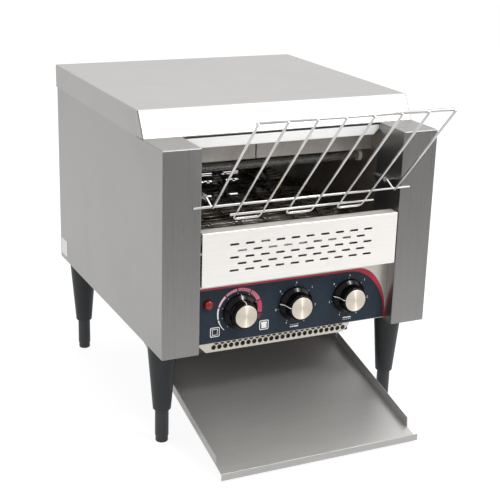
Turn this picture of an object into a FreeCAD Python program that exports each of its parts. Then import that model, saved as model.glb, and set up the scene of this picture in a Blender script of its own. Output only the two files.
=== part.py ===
import FreeCAD, Part
import math
import os
import Sketcher

# Countertop conveyor toaster on four legs, millimetres.
# X runs to the right as seen from the front, Y from front to back, Z up.
# Sizes along Y count from the front face of the pillars, sizes along Z from
# the underside of the casing. The document's origin is under the middle of
# the whole toaster, on the surface that it stands on.

SIZES = {
    # casing
    "bodyWidth": 368.0, "bodyDepth": 417.5, "pillarTop": 255.7,
    "sheetSteel": 1.0, "seamGap": 0.3, "flangeWidth": 12.0,
    "pillarWidth": 48.5, "pillarDepth": 61.0,
    "hoodTop": 286.6, "hoodSkirtFoot": 255.0, "hoodOverhang": 1.5,
    "hoodSlopeTop": 80.5, "hoodSlopeFoot": 61.3,
    "baseFrontSetback": 32.0, "baseLipTop": 3.8,
    "dropSideGap": 10.5, "dropRearGap": 63.5, "dropLength": 92.0,
    # feed opening and the panels below it
    "lintelFoot": 240.0, "lintelFlange": 12.0, "lintelCorner": 8.0,
    "slottedFoot": 85.0, "slottedTop": 152.6, "slottedSideGap": 2.0,
    "slottedFlange": 17.0, "slottedReturn": 9.0,
    "slotLength": 12.0, "slotHeight": 2.7, "slotMargin": 35.7,
    "slotRowPitch": 8.2, "slotRowTop": 135.4,
    "controlFace": 17.2, "controlFoot": 3.8, "controlTop": 95.0,
    "controlFlange": 20.0, "panelSideGap": 0.1,
    "overlayThickness": 0.5, "overlayFoot": 5.0, "overlayTop": 77.0,
    "overlayBendWidth": 43.4,
    # perforated guard below the control panel
    "guardSetback": 57.0, "guardDrop": 26.3, "guardSideGap": 26.5,
    "guardShift": -2.5, "guardHoleShift": 5.2,
    "guardChamfer": 9.5, "guardFlange": 14.0,
    "guardHole": 3.2, "guardHoleMargin": 14.8, "guardRowPitch": 6.2,
    "guardFirstRow": 20.0,
    # knobs, switches and lamp
    "knobInset": 57.7, "knobMiddle": 1.3, "knobHeight": 42.0,
    "knobGap": 0.5, "skirtRadius": 22.8, "skirtThickness": 4.0,
    "skirtRise": 3.0, "gripRadius": 17.4, "gripEndRadius": 16.0,
    "knobDepth": 19.7, "capRadius": 14.4, "capThickness": 1.2,
    "capRecess": 0.6, "spindleRadius": 3.0, "spindleReach": 14.0,
    "spindleTail": 12.0, "spindleHole": 4.0, "spindleFit": 0.1,
    "switchHalf": 17.0, "switchDepth": 26.0, "speedBoxHalf": 22.0,
    "speedBoxDepth": 18.0,
    "lampInset": 17.8, "lampHeight": 56.4, "lampRadius": 6.8,
    "lampDome": 5.0, "lampTail": 4.2, "lampTailLength": 22.0,
    "lampFit": 0.2,
    # toasting chamber
    "chamberRearGap": 17.5, "wallTopGap": 3.7,
    "apronSetback": 75.0, "apronDrop": 7.0, "reflectorDrop": 27.0,
    "reflectorOverhang": 5.0, "rearApronDrop": 35.0,
    "apronSlit": 1.6, "apronSlitLeft": 32.2,
    "lowerReflectorDrop": 30.0, "lowerReflectorGap": 12.0,
    "tubeRadius": 5.5, "tubeSideGap": 4.5, "topTubeDrop": 22.0,
    "topTubeFront": 30.0, "topTubeRearGap": 50.0,
    "lowTubeFront": 60.0, "lowTubeRearGap": 59.0,
    "capCeramicRadius": 7.5, "ceramicTail": 8.0, "ceramicFlange": 3.0,
    "ceramicFlangeRim": 2.5, "ceramicFit": 0.2,
    # conveyor
    "shaftHeight": 108.0, "idlerSetback": 46.0, "driveRearGap": 87.5,
    "beltRadius": 22.0, "beltThickness": 1.6, "beltSideGap": 13.5,
    "wheelClearance": 0.3, "wheelWidth": 6.0, "wheelInset": 17.0,
    "hubRadius": 11.0, "hubWidth": 14.0, "toothDepth": 3.0,
    "toothWidth": 4.0, "beltLinkPitch": 14.0, "beltRung": 2.6,
    "shaftRadius": 6.0, "shaftStub": 16.0,
    "shaftFit": 0.05, "bushRadius": 10.0, "bushFlange": 3.5,
    "bushFlangeThickness": 2.0, "bushInner": 3.0, "bushOuter": 5.0,
    "bushFit": 0.1,
    "sprocketGap": 13.5, "sprocketWidth": 5.0,
    "drivenRadius": 22.5, "motorSprocketRadius": 15.0,
    "chainThickness": 4.0, "chainSide": 0.5,
    "motorLead": 130.0, "motorHeight": 42.0, "motorRadius": 24.0,
    "motorLength": 75.0, "gearboxLength": 30.0, "gearboxHalf": 28.0,
    "motorShaftRadius": 4.0, "motorShaftHole": 8.0, "motorShaftSeat": 9.0,
    # slide that turns the toast back towards the front
    "slideFoot": 12.0, "slideRun": 56.0, "slideRise": 60.0,
    # feed rack
    "rackWire": 1.5, "rackRail": 2.0, "rackWeld": 0.2, "rackGap": 0.3,
    "rackLean": 47.0, "rackRestLift": 32.9, "rackLength": 166.0,
    "rackOverrun": 3.5, "rackSideGap": 11.95, "rackRailEnd": 1.5,
    "rackRestOverlap": 11.5, "rackLowRailInset": 25.35, "rackLowRail": 13.5,
    "rackFootLength": 29.5, "rackTailRun": 18.0, "rackTailRise": 8.5,
    "rackTailLength": 28.0,
    "socketLength": 24.0, "socketFit": 0.3, "socketWall": 1.4,
    "socketArm": 2.0,
    # toast tray and its runners
    "trayFront": 76.0, "trayFloorFront": 127.8, "traySlope": 13.9,
    "trayRearLap": 8.0, "traySideGap": 0.2, "trayFlare": 0.5,
    "trayWall": 13.1, "trayWallEnd": 22.0, "trayWallCut": 2.0,
    "trayLip": 9.2, "trayLipDrop": 3.4, "trayLipSpread": 2.0,
    "trayGussetFront": 135.0, "trayGussetLean": 15.0, "trayWing": 6.5,
    "runnerDepth": 8.0,
    "runnerWidth": 7.2, "runnerFront": 60.0, "runnerRearGap": 25.5,
    "runnerSideGap": 1.0, "runnerRunningGap": 0.3,
    # legs and adjustable feet
    "legHeight": 134.6, "legInset": 20.9, "legFront": 52.6,
    "legRearGap": 41.2, "legTopRadius": 18.9, "legFootRadius": 11.5,
    "legCone": 89.4, "legBoreDepth": 52.0, "footRadius": 8.7,
    "footBoreFit": 0.3, "footThread": 15.0, "footTipRadius": 8.0,
    "footTip": 8.0, "studRadius": 5.0, "studFit": 0.1, "studLength": 9.0,
    "weldNutRadius": 9.0, "weldNutHeight": 7.0,
    # back panel, cord gland and small fittings
    "ventGap": 15.0, "ventHeight": 4.0, "ventPitch": 12.0,
    "ventMargin": 78.0, "ventFirst": 45.0,
    "glandInset": 63.0, "glandHeight": 34.0, "glandReach": 14.0,
    "glandRadius": 9.0, "glandRim": 3.5, "glandRimThickness": 3.0,
    "glandNut": 5.0, "glandBore": 4.2, "glandFit": 0.1,
    "screwRadius": 2.0, "screwHead": 4.0, "screwHeadHeight": 2.2,
    "screwFit": 0.15, "screwLength": 7.0, "screwInset": 6.0,
    "screwMargin": 30.0, "hoodScrewMargin": 63.0,
    "terminalLength": 60.0, "terminalWidth": 22.0, "terminalHeight": 18.0,
    "terminalSideGap": 11.0, "terminalRearGap": 46.3,
    "plateThickness": 0.4, "plateLength": 28.0, "plateHeight": 24.0,
    "plateInset": 5.0, "plateLift": 7.0,
    # shared by all cuts, so that no cut ends flush with a face
    "overrun": 1.0,
}

COUNTS = {
    "longRowSlotCount": 10, "guardHoleCount": 24, "guardRowCount": 3,
    "tubeCount": 4, "wheelCount": 4, "toothCount": 12, "drivenToothCount": 18, "beltCellCount": 10,
    "rackWireCount": 8, "ventRowCount": 6, "ventColumnCount": 5, "hoodScrewCount": 3,
    "backScrewRowCount": 3,
}

LEFT, RIGHT = -1, 1
SIDES = {"left": LEFT, "right": RIGHT}
Vector = FreeCAD.Vector


class Dim:
    """A length that knows both its value and the sheet formula behind it."""

    def __init__(self, text, value):
        self.text = text
        self.value = value

    def combine(self, other, sign, value, swap=False):
        first, second = (asDim(other), self) if swap else (self, asDim(other))
        return Dim("(%s %s %s)" % (first.text, sign, second.text), value)

    def __add__(self, other):
        return self.combine(other, "+", self.value + asDim(other).value)

    def __radd__(self, other):
        return self.combine(other, "+", asDim(other).value + self.value, True)

    def __sub__(self, other):
        return self.combine(other, "-", self.value - asDim(other).value)

    def __rsub__(self, other):
        return self.combine(other, "-", asDim(other).value - self.value, True)

    def __mul__(self, other):
        return self.combine(other, "*", self.value * asDim(other).value)

    def __rmul__(self, other):
        return self.combine(other, "*", asDim(other).value * self.value, True)

    def __truediv__(self, other):
        return self.combine(other, "/", self.value / asDim(other).value)

    def __neg__(self):
        return Dim("(0 - %s)" % self.text, -self.value)

    def __float__(self):
        return float(self.value)


def asDim(size):
    return size if isinstance(size, Dim) else Dim(repr(size), float(size))


class Sheet:
    """The driving dimensions: one row of the spreadsheet for each."""

    def __init__(self, document, rows):
        table = document.addObject("Spreadsheet::Sheet", "dims")
        for number, (name, value) in enumerate(rows.items(), 1):
            table.set("A%d" % number, name)
            table.set("B%d" % number, str(value))
            table.setAlias("B%d" % number, name)
            setattr(self, name, Dim("dims.%s" % name, value))


doc = FreeCAD.newDocument("ConveyorToaster")
s = Sheet(doc, SIZES)
doc.recompute()
nodes = []

# Places that several pieces share.
half = s.bodyWidth / 2
innerHalf = half - s.sheetSteel
chamberHalf = half - s.pillarWidth
chamberOuter = chamberHalf + s.sheetSteel
innerWallTop = s.pillarTop - s.wallTopGap
reflectorHeight = innerWallTop - s.reflectorDrop
rearFace = s.bodyDepth
backInner = rearFace - s.sheetSteel
chamberRear = rearFace - s.chamberRearGap
driveSetback = rearFace - s.driveRearGap
motorSetback = driveSetback - s.motorLead
dropRear = rearFace - s.dropRearGap
dropFront = dropRear - s.dropLength
legRear = rearFace - s.legRearGap
reflectorRear = driveSetback + s.reflectorOverhang
hoodUnder = s.hoodTop - s.sheetSteel
hoodSlopeRatio = (s.hoodSlopeTop - s.hoodSlopeFoot) / (s.hoodTop - s.hoodSkirtFoot)
legOffset = half - s.legInset
lean = math.radians(SIZES["rackLean"])
leanSide = math.cos(lean)
leanUp = math.sin(lean)
rackWireFront = (s.rackWire + s.rackGap + (2 * s.rackWire - s.rackWeld) * leanUp
                 + (s.rackLength + s.rackOverrun) * leanSide + s.rackWire * leanUp)
originShift = (rearFace + s.glandReach - rackWireFront) / 2
rackOffset = chamberHalf - s.rackSideGap
rackPitch = 2 * rackOffset / (COUNTS["rackWireCount"] - 1)
rackRestHeight = s.slottedTop + s.rackRestLift
knobPitch = chamberHalf - s.knobInset - s.knobMiddle
knobLeft = s.knobMiddle - knobPitch
knobRight = s.knobMiddle + knobPitch
lampLeft = chamberHalf - s.lampInset
glandRight = innerHalf - s.glandInset
sprocketLane = chamberOuter + s.sprocketGap
trayHalfWidth = chamberHalf - s.traySideGap
overlayFace = s.controlFace - s.overlayThickness
wheelRadius = s.beltRadius - s.beltThickness / 2 - s.wheelClearance


def keep(piece, label):
    """Makes this object the sub-part that goes into parts/label.step."""
    piece.Label = label
    nodes.append(piece)
    return piece


def bind(piece, prop, size):
    piece.setExpression(prop, asDim(size).text)


def place(piece, x, y, z):
    """Puts a piece at casing coordinates, through the sheet."""
    bind(piece, "Placement.Base.x", x)
    bind(piece, "Placement.Base.y", y - originShift)
    bind(piece, "Placement.Base.z", z + s.legHeight)


def box(name, x, y, z):
    """A block between two limits along each axis."""
    piece = doc.addObject("Part::Box", name)
    for prop, limits in zip(("Length", "Width", "Height"), (x, y, z)):
        bind(piece, prop, limits[1] - limits[0])
    place(piece, x[0], y[0], z[0])
    return piece


AXIS_TURNS = {
    "X": FreeCAD.Rotation(Vector(0, 1, 0), 90),
    "Y": FreeCAD.Rotation(Vector(1, 0, 0), -90),
    "Z": FreeCAD.Rotation(),
}


def rod(name, axis, radius, span, centre):
    """A round bar along one axis; centre holds the other two coordinates."""
    piece = doc.addObject("Part::Cylinder", name)
    piece.Placement = FreeCAD.Placement(Vector(), AXIS_TURNS[axis])
    bind(piece, "Radius", radius)
    bind(piece, "Height", span[1] - span[0])
    start = list(centre)
    start.insert("XYZ".index(axis), span[0])
    place(piece, *start)
    return piece


def join(name, pieces):
    piece = doc.addObject("Part::MultiFuse", name)
    piece.Shapes = pieces
    piece.Refine = True
    return piece


def cut(name, base, tools):
    piece = doc.addObject("Part::Cut", name)
    piece.Base = base
    piece.Tool = tools[0] if len(tools) == 1 else join(name + "_tools", tools)
    return piece


def group(name, pieces):
    piece = doc.addObject("Part::Compound", name)
    piece.Links = pieces
    return piece


def formed(label, shape):
    """A sub-part whose shape comes from Part's own functions."""
    piece = doc.addObject("Part::Feature", label)
    piece.Shape = shape
    place(piece, asDim(0), asDim(0), asDim(0))
    return keep(piece, label)


def newBody(label, x=0, y=0, z=0):
    body = doc.addObject("PartDesign::Body", label)
    place(body, asDim(x), asDim(y), asDim(z))
    return keep(body, label)


def sketch(body, plane, loops, level):
    """Outlines on an origin plane of the body, every point tied to the sheet."""
    origins = [item for item in body.Origin.OriginFeatures if item.Role == plane]
    drawing = body.newObject("Sketcher::SketchObject", body.Name + "_sketch")
    drawing.AttachmentSupport = [(origins[0], "")]
    drawing.MapMode = "FlatFace"
    bind(drawing, "AttachmentOffset.Base.z", -level if plane == "XZ_Plane" else level)
    for loop in loops:
        if len(loop) == 3 and isinstance(loop[2], Dim):
            drawCircle(drawing, *loop)
        else:
            drawPolygon(drawing, loop)
    return drawing


def tie(drawing, kind, items, size):
    if kind == "Radius":
        number = drawing.addConstraint(Sketcher.Constraint(kind, items[0], float(size)))
    else:
        number = drawing.addConstraint(
            Sketcher.Constraint(kind, -1, 1, items[0], items[1], float(size)))
    drawing.setExpression("Constraints[%d]" % number, size.text)


def drawCircle(drawing, across, up, radius):
    across, up = asDim(across), asDim(up)
    centre = Vector(float(across), float(up), 0)
    curve = drawing.addGeometry(Part.Circle(centre, Vector(0, 0, 1), float(radius)))
    tie(drawing, "Radius", (curve,), radius)
    tie(drawing, "DistanceX", (curve, 3), across)
    tie(drawing, "DistanceY", (curve, 3), up)


def drawPolygon(drawing, points):
    points = [(asDim(across), asDim(up)) for across, up in points]
    flat = [Vector(float(across), float(up), 0) for across, up in points]
    lines = [drawing.addGeometry(Part.LineSegment(start, end))
             for start, end in zip(flat, flat[1:] + flat[:1])]
    for line, after in zip(lines, lines[1:] + lines[:1]):
        drawing.addConstraint(Sketcher.Constraint("Coincident", line, 2, after, 1))
    for line, (across, up) in zip(lines, points):
        tie(drawing, "DistanceX", (line, 1), across)
        tie(drawing, "DistanceY", (line, 1), up)


def pad(body, plane, loops, low, high):
    """Adds material between two levels along the plane's axis."""
    low, high = asDim(low), asDim(high)
    feature = body.newObject("PartDesign::Pad", body.Name + "_pad")
    feature.Profile = sketch(body, plane, loops, low)
    feature.Reversed = plane == "XZ_Plane"
    bind(feature, "Length", high - low)
    body.Tip = feature
    return feature


def pocket(body, plane, loops, low, high):
    """Takes material away between two levels along the plane's axis."""
    low, high = asDim(low), asDim(high)
    level = low if plane == "XZ_Plane" else high
    feature = body.newObject("PartDesign::Pocket", body.Name + "_pocket")
    feature.Profile = sketch(body, plane, loops, level)
    bind(feature, "Length", high - low)
    body.Tip = feature
    return feature


def turn(body, plane, points, axis):
    """A turned shape about one axis of its sketch."""
    drawing = sketch(body, plane, [points], asDim(0))
    feature = body.newObject("PartDesign::Revolution", body.Name + "_turned")
    feature.Profile = drawing
    feature.ReferenceAxis = (drawing, [axis])
    feature.Angle = 360
    body.Tip = feature
    return feature


def repeat(body, features, plane, axis, count, pitch):
    """Repeats features along one axis of the body."""
    origins = [item for item in body.Origin.OriginFeatures if item.Role == axis]
    pattern = body.newObject("PartDesign::LinearPattern", body.Name + "_row")
    pattern.Originals = features
    pattern.Direction = (origins[0], [""])
    bind(pattern, "Length", pitch * (count - 1))
    pattern.Occurrences = count
    body.Tip = pattern
    return pattern


def rectangle(across, up):
    return [(across[0], up[0]), (across[1], up[0]), (across[1], up[1]), (across[0], up[1])]


def mirrored(side, low, high):
    """Limits along X on the left or the right side."""
    return (low, high) if side == RIGHT else (-high, -low)


# Casing

def makeBase():
    body = newBody("base_plate")
    front = s.sheetSteel
    outline = [
        (-innerHalf, front), (-chamberHalf, front), (-chamberHalf, s.baseFrontSetback),
        (chamberHalf, s.baseFrontSetback), (chamberHalf, front), (innerHalf, front),
        (innerHalf, backInner), (-innerHalf, backInner)]
    dropHalf = chamberHalf - s.dropSideGap
    dropHole = rectangle((-dropHalf, dropHalf), (dropFront, dropRear))
    pad(body, "XY_Plane", [outline, dropHole], 0, s.sheetSteel)
    lipEnd = chamberHalf - s.panelSideGap
    lip = rectangle((-lipEnd, lipEnd), (s.baseFrontSetback, s.baseFrontSetback + s.sheetSteel))
    pad(body, "XY_Plane", [lip], s.sheetSteel, s.baseLipTop)
    for side in (LEFT, RIGHT):
        for setback in (s.legFront, legRear):
            nut = (side * legOffset, setback, s.weldNutRadius)
            hole = (side * legOffset, setback, s.studRadius + s.studFit)
            pad(body, "XY_Plane", [nut], s.sheetSteel, s.sheetSteel + s.weldNutHeight)
            pocket(body, "XY_Plane", [hole], -s.overrun,
                   s.sheetSteel + s.weldNutHeight + s.overrun)


def makeSidePanel(name, side):
    """A flat side with a folded flange for the back panel."""
    body = newBody("side_panel_" + name)
    low, high = mirrored(side, innerHalf, half)
    front = s.sheetSteel + s.seamGap
    shoulder = s.pillarTop - s.sheetSteel
    clearance = 2 * s.sheetSteel
    slopeFoot = s.hoodSlopeFoot + clearance
    slopeTop = s.hoodSlopeTop + clearance
    outline = [(front, 0), (rearFace, 0), (rearFace, hoodUnder), (slopeTop, hoodUnder),
               (slopeFoot, shoulder), (front, shoulder)]
    pad(body, "YZ_Plane", [outline], low, high)
    flange = rectangle(mirrored(side, innerHalf - s.flangeWidth, innerHalf),
                       (backInner - s.sheetSteel, backInner))
    pad(body, "XY_Plane", [flange], s.flangeWidth, hoodUnder - s.flangeWidth)
    for height in backScrewHeights():
        hole = (side * backScrewOffset, height, s.screwRadius + s.screwFit)
        pocket(body, "XZ_Plane", [hole], backInner - s.sheetSteel - s.overrun, backInner)


def makePillar(name, side):
    """Front face, inner face and top of one front pillar, folded from one sheet."""
    label = "front_pillar_" + name
    pieces = [
        box("pillar_face_" + name, mirrored(side, chamberHalf, half),
            (asDim(0), s.sheetSteel), (asDim(0), s.pillarTop)),
        box("pillar_return_" + name, mirrored(side, chamberHalf, chamberOuter),
            (asDim(0), s.pillarDepth), (s.sheetSteel, s.pillarTop)),
        box("pillar_top_" + name, mirrored(side, chamberHalf, half),
            (asDim(0), s.pillarDepth), (s.pillarTop - s.sheetSteel, s.pillarTop)),
    ]
    low, high = mirrored(side, chamberHalf, chamberOuter)
    bushHole = rod("pillar_bush_hole", "X", s.bushRadius + s.bushFit,
                   (low - s.overrun, high + s.overrun), (s.idlerSetback, s.shaftHeight))
    keep(cut(label, join(label + "_sheet", pieces), [bushHole]), label)


def makeHood():
    """Top cover: a pan whose front face slopes out over the feed opening."""
    body = newBody("hood")
    reach = half + s.hoodOverhang
    rear = rearFace + s.hoodOverhang
    wall = s.sheetSteel * math.hypot(1, float(hoodSlopeRatio))
    outline = [(rear, s.hoodSkirtFoot), (rear, s.hoodTop), (s.hoodSlopeTop, s.hoodTop),
               (s.hoodSlopeFoot, s.hoodSkirtFoot)]
    pad(body, "YZ_Plane", [outline], -reach, reach)
    innerTop = s.hoodSlopeTop - s.sheetSteel * hoodSlopeRatio + wall
    innerFoot = s.hoodSlopeFoot - s.overrun * hoodSlopeRatio + wall
    below = s.hoodSkirtFoot - s.overrun
    hollow = [(rear - s.sheetSteel, below), (rear - s.sheetSteel, hoodUnder),
              (innerTop, hoodUnder), (innerFoot, below)]
    pocket(body, "YZ_Plane", [hollow], s.sheetSteel - reach, reach - s.sheetSteel)
    holes = [(across, hoodScrewHeight, s.screwRadius + s.screwFit) for across in hoodScrewPlaces()]
    pocket(body, "XZ_Plane", holes, rear - s.sheetSteel - s.overrun, rear + s.overrun)


backScrewOffset = innerHalf - s.screwInset
hoodScrewHeight = (s.hoodTop + s.hoodSkirtFoot) / 2


def backScrewHeights():
    low = s.screwMargin
    step = (s.hoodSkirtFoot - 2 * s.screwMargin) / (COUNTS["backScrewRowCount"] - 1)
    return [low + step * row for row in range(COUNTS["backScrewRowCount"])]


def hoodScrewPlaces():
    reach = innerHalf - s.hoodScrewMargin
    step = 2 * reach / (COUNTS["hoodScrewCount"] - 1)
    return [step * number - reach for number in range(COUNTS["hoodScrewCount"])]


def makeBackPanel():
    body = newBody("back_panel")
    outline = rectangle((-innerHalf, innerHalf), (s.sheetSteel, hoodUnder))
    pad(body, "XZ_Plane", [outline], backInner, rearFace)
    fit = s.screwRadius + s.screwFit
    holes = [(glandRight, s.glandHeight, s.glandRadius + s.glandFit)]
    holes += [(side * backScrewOffset, height, fit)
              for side in (LEFT, RIGHT) for height in backScrewHeights()]
    holes += [(across, hoodScrewHeight, fit) for across in hoodScrewPlaces()]
    pocket(body, "XZ_Plane", holes, backInner - s.overrun, rearFace + s.overrun)
    first = s.ventMargin - innerHalf
    pitch = (s.ventGap - 2 * first) / COUNTS["ventColumnCount"]
    ventWidth = pitch - s.ventGap
    column = [rectangle((first, first + ventWidth),
                        (s.ventFirst + s.ventPitch * row,
                         s.ventFirst + s.ventPitch * row + s.ventHeight))
              for row in range(COUNTS["ventRowCount"])]
    vents = pocket(body, "XZ_Plane", column, backInner - s.overrun, rearFace + s.overrun)
    repeat(body, [vents], "XZ_Plane", "X_Axis", COUNTS["ventColumnCount"], pitch)


# Front of the toasting chamber

def makeLintel():
    """Bright strip over the feed opening, with its lower corners cut off."""
    body = newBody("lintel")
    top = s.pillarTop - s.sheetSteel
    face = s.pillarDepth - s.sheetSteel
    corner = s.lintelCorner
    outline = [
        (-chamberHalf, top), (-chamberHalf, s.lintelFoot + corner),
        (corner - chamberHalf, s.lintelFoot), (chamberHalf - corner, s.lintelFoot),
        (chamberHalf, s.lintelFoot + corner), (chamberHalf, top)]
    pad(body, "XZ_Plane", [outline], face, s.pillarDepth)
    flange = rectangle((corner - chamberHalf, chamberHalf - corner),
                       (s.lintelFoot, s.lintelFoot + s.sheetSteel))
    pad(body, "XZ_Plane", [flange], s.pillarDepth, s.pillarDepth + s.lintelFlange)


def slotLoops(across, rows):
    """Straight parts and round ends of one column of slots."""
    end = s.slotHeight / 2
    reach = s.slotLength / 2 - end
    heights = [s.slotRowTop - s.slotRowPitch * row for row in rows]
    straight = [rectangle((across - reach, across + reach), (height - end, height + end))
                for height in heights]
    ends = [(across + reach * side, height, end) for height in heights for side in (-1, 1)]
    return straight, ends


def makeSlottedPanel():
    body = newBody("slotted_front_panel")
    t = s.sheetSteel
    profile = [
        (0, s.slottedFoot), (s.controlFace, s.slottedFoot), (s.controlFace, s.slottedFoot + t),
        (t, s.slottedFoot + t), (t, s.slottedTop - t), (s.slottedFlange, s.slottedTop - t),
        (s.slottedFlange, s.slottedTop - s.slottedReturn),
        (s.slottedFlange + t, s.slottedTop - s.slottedReturn),
        (s.slottedFlange + t, s.slottedTop), (0, s.slottedTop)]
    reach = chamberHalf - s.slottedSideGap
    pad(body, "YZ_Plane", [profile], -reach, reach)
    longRow = COUNTS["longRowSlotCount"]
    pitch = (2 * (reach - s.slotMargin) - s.slotLength) / (longRow - 1)
    for count, rows in ((longRow, (0, 2, 4)), (longRow - 1, (1, 3))):
        first = -pitch * (count - 1) / 2
        straight, ends = slotLoops(first, rows)
        cuts = [pocket(body, "XZ_Plane", loops, -s.overrun, t + s.overrun)
                for loops in (straight, ends)]
        repeat(body, cuts, "XZ_Plane", "X_Axis", count, pitch)


def makeControlPanel():
    body = newBody("control_panel")
    reach = chamberHalf - s.panelSideGap
    t = s.sheetSteel
    rear = s.controlFace + s.controlFlange
    profile = [(s.controlFace, s.controlFoot), (rear, s.controlFoot), (rear, s.controlFoot + t),
               (s.controlFace + t, s.controlFoot + t), (s.controlFace + t, s.controlTop),
               (s.controlFace, s.controlTop)]
    pad(body, "YZ_Plane", [profile], -reach, reach)
    holes = [(across, s.knobHeight, s.spindleHole)
             for across in (knobLeft, s.knobMiddle, knobRight)]
    holes.append((-lampLeft, s.lampHeight, s.lampTail + s.lampFit))
    pocket(body, "XZ_Plane", holes, s.controlFace - s.overrun, s.controlFace + t + s.overrun)


def makeOverlay():
    """Dark film on the control panel, its right end one long bend."""
    left = -float(chamberHalf - s.panelSideGap)
    bend = float(chamberHalf - s.panelSideGap - s.overlayBendWidth)
    foot, top = float(s.overlayFoot), float(s.overlayTop)
    width, height = float(s.overlayBendWidth), top - foot
    # the bend is a quarter of an ellipse standing on the film's foot
    tall = height > width
    quarter = Part.Ellipse(Vector(bend, 0, foot), max(width, height), min(width, height))
    quarter.Axis = Vector(0, -1, 0)
    quarter.XAxis = Vector(0, 0, 1) if tall else Vector(1, 0, 0)
    side, crown = Vector(bend + width, 0, foot), Vector(bend, 0, top)
    limits = sorted(quarter.parameter(point) % (2 * math.pi) for point in (side, crown))
    if limits[1] - limits[0] > math.pi:
        limits = [limits[1] - 2 * math.pi, limits[0]]
    edges = [quarter.toShape(*limits)]
    corners = [crown, Vector(left, 0, top), Vector(left, 0, foot), side]
    edges += [Part.LineSegment(start, end).toShape() for start, end in zip(corners, corners[1:])]
    outline = Part.Wire(Part.__sortEdges__(edges))
    film = Part.Face(outline).extrude(Vector(0, float(s.overlayThickness), 0))
    film.translate(Vector(0, float(overlayFace), 0))
    depth = float(s.overlayThickness + 2 * s.overrun)
    front = float(overlayFace - s.overrun)
    for across in (knobLeft, s.knobMiddle, knobRight):
        film = film.cut(Part.makeCylinder(float(s.spindleHole), depth,
                                          Vector(float(across), front, float(s.knobHeight)),
                                          Vector(0, 1, 0)))
    film = film.cut(Part.makeCylinder(float(s.lampTail + s.lampFit), depth,
                                      Vector(-float(lampLeft), front, float(s.lampHeight)),
                                      Vector(0, 1, 0)))
    formed("control_overlay", film)


def makeGuard():
    """Perforated strip under the control panel, with a plain sheet behind it."""
    body = newBody("perforated_guard", s.guardShift)
    low, wide, chamfer = -s.guardDrop, chamberHalf - s.guardSideGap, s.guardChamfer
    outline = [(-wide, 0), (-wide, low + chamfer), (chamfer - wide, low),
               (wide - chamfer, low), (wide, low + chamfer), (wide, 0)]
    rear = s.guardSetback + s.guardFlange
    pad(body, "XZ_Plane", [outline], s.guardSetback, s.guardSetback + s.sheetSteel)
    pad(body, "XZ_Plane", [outline], rear - s.sheetSteel, rear)
    flange = rectangle((-wide, wide), (-s.sheetSteel, asDim(0)))
    pad(body, "XZ_Plane", [flange], s.guardSetback, rear)
    first = s.guardHoleShift + s.guardHoleMargin - wide
    pitch = 2 * (wide - s.guardHoleMargin) / (COUNTS["guardHoleCount"] - 1)
    # every second row is shifted by half a pitch and has one hole less
    for shifted in (0, 1):
        column = [(first + shifted * pitch / 2, s.guardRowPitch * row - s.guardFirstRow, s.guardHole)
                  for row in range(shifted, COUNTS["guardRowCount"], 2)]
        holes = pocket(body, "XZ_Plane", column, s.guardSetback - s.overrun,
                       s.guardSetback + s.sheetSteel + s.overrun)
        repeat(body, [holes], "XZ_Plane", "X_Axis", COUNTS["guardHoleCount"] - shifted, pitch)


# Controls

def makeKnob(name, across):
    """Skirted knob with a spun metal cap and the spindle that it turns."""
    rear = overlayFace - s.knobGap
    front = rear - s.knobDepth
    body = newBody(name + "_knob", across, 0, s.knobHeight)
    bore = s.spindleRadius + s.spindleFit / 2
    boreEnd = rear - s.spindleReach
    skirtFront = rear - s.skirtThickness
    profile = [
        (rear, bore), (rear, s.skirtRadius), (skirtFront, s.skirtRadius - s.spindleFit),
        (skirtFront - s.skirtRise, s.gripRadius), (front + s.capThickness, s.gripEndRadius),
        (front + s.capThickness, 0), (boreEnd, 0), (boreEnd, bore)]
    turn(body, "YZ_Plane", profile, "H_Axis")
    cap = newBody(name + "_knob_cap", across, 0, s.knobHeight)
    capProfile = [
        (front + s.capThickness, 0), (front + s.capThickness, s.capRadius),
        (front + s.capRecess, s.capRadius), (front, s.capRadius - s.capRecess), (front, 0)]
    turn(cap, "YZ_Plane", capProfile, "H_Axis")
    spindle = rod(name + "_spindle", "Y", s.spindleRadius,
                  (boreEnd, s.controlFace + s.sheetSteel + s.spindleTail),
                  (across, s.knobHeight))
    keep(spindle, name + "_spindle")


def makeSwitch(label, across, reach, depth):
    """Switch or controller housing behind the control panel."""
    body = newBody(label, across, 0, s.knobHeight)
    front = s.controlFace + s.sheetSteel
    pad(body, "XZ_Plane", [rectangle((-reach, reach), (-reach, reach))], front, front + depth)
    hole = (asDim(0), asDim(0), s.spindleRadius + s.spindleFit)
    pocket(body, "XZ_Plane", [hole], front - s.overrun,
           front + s.spindleTail + s.spindleFit)


def makeLamp():
    body = newBody("pilot_lamp", -lampLeft, 0, s.lampHeight)
    face = overlayFace
    tail = s.controlFace + s.lampTailLength
    crown = s.lampRadius / 2
    profile = [(tail, 0), (tail, s.lampTail), (face, s.lampTail), (face, s.lampRadius),
               (face - s.lampDome / 2, s.lampRadius - s.lampFit),
               (face - s.lampDome, crown), (face - s.lampDome - s.lampFit, 0)]
    turn(body, "YZ_Plane", profile, "H_Axis")


# Toasting chamber

def tubePlaces():
    rows = []
    for first, last, height in (
            (s.apronSetback + s.topTubeFront, reflectorRear - s.topTubeRearGap,
             reflectorHeight - s.topTubeDrop),
            (s.idlerSetback + s.lowTubeFront, driveSetback - s.lowTubeRearGap, s.shaftHeight)):
        step = (last - first) / (COUNTS["tubeCount"] - 1)
        rows.append([(first + step * number, height) for number in range(COUNTS["tubeCount"])])
    return rows


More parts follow.
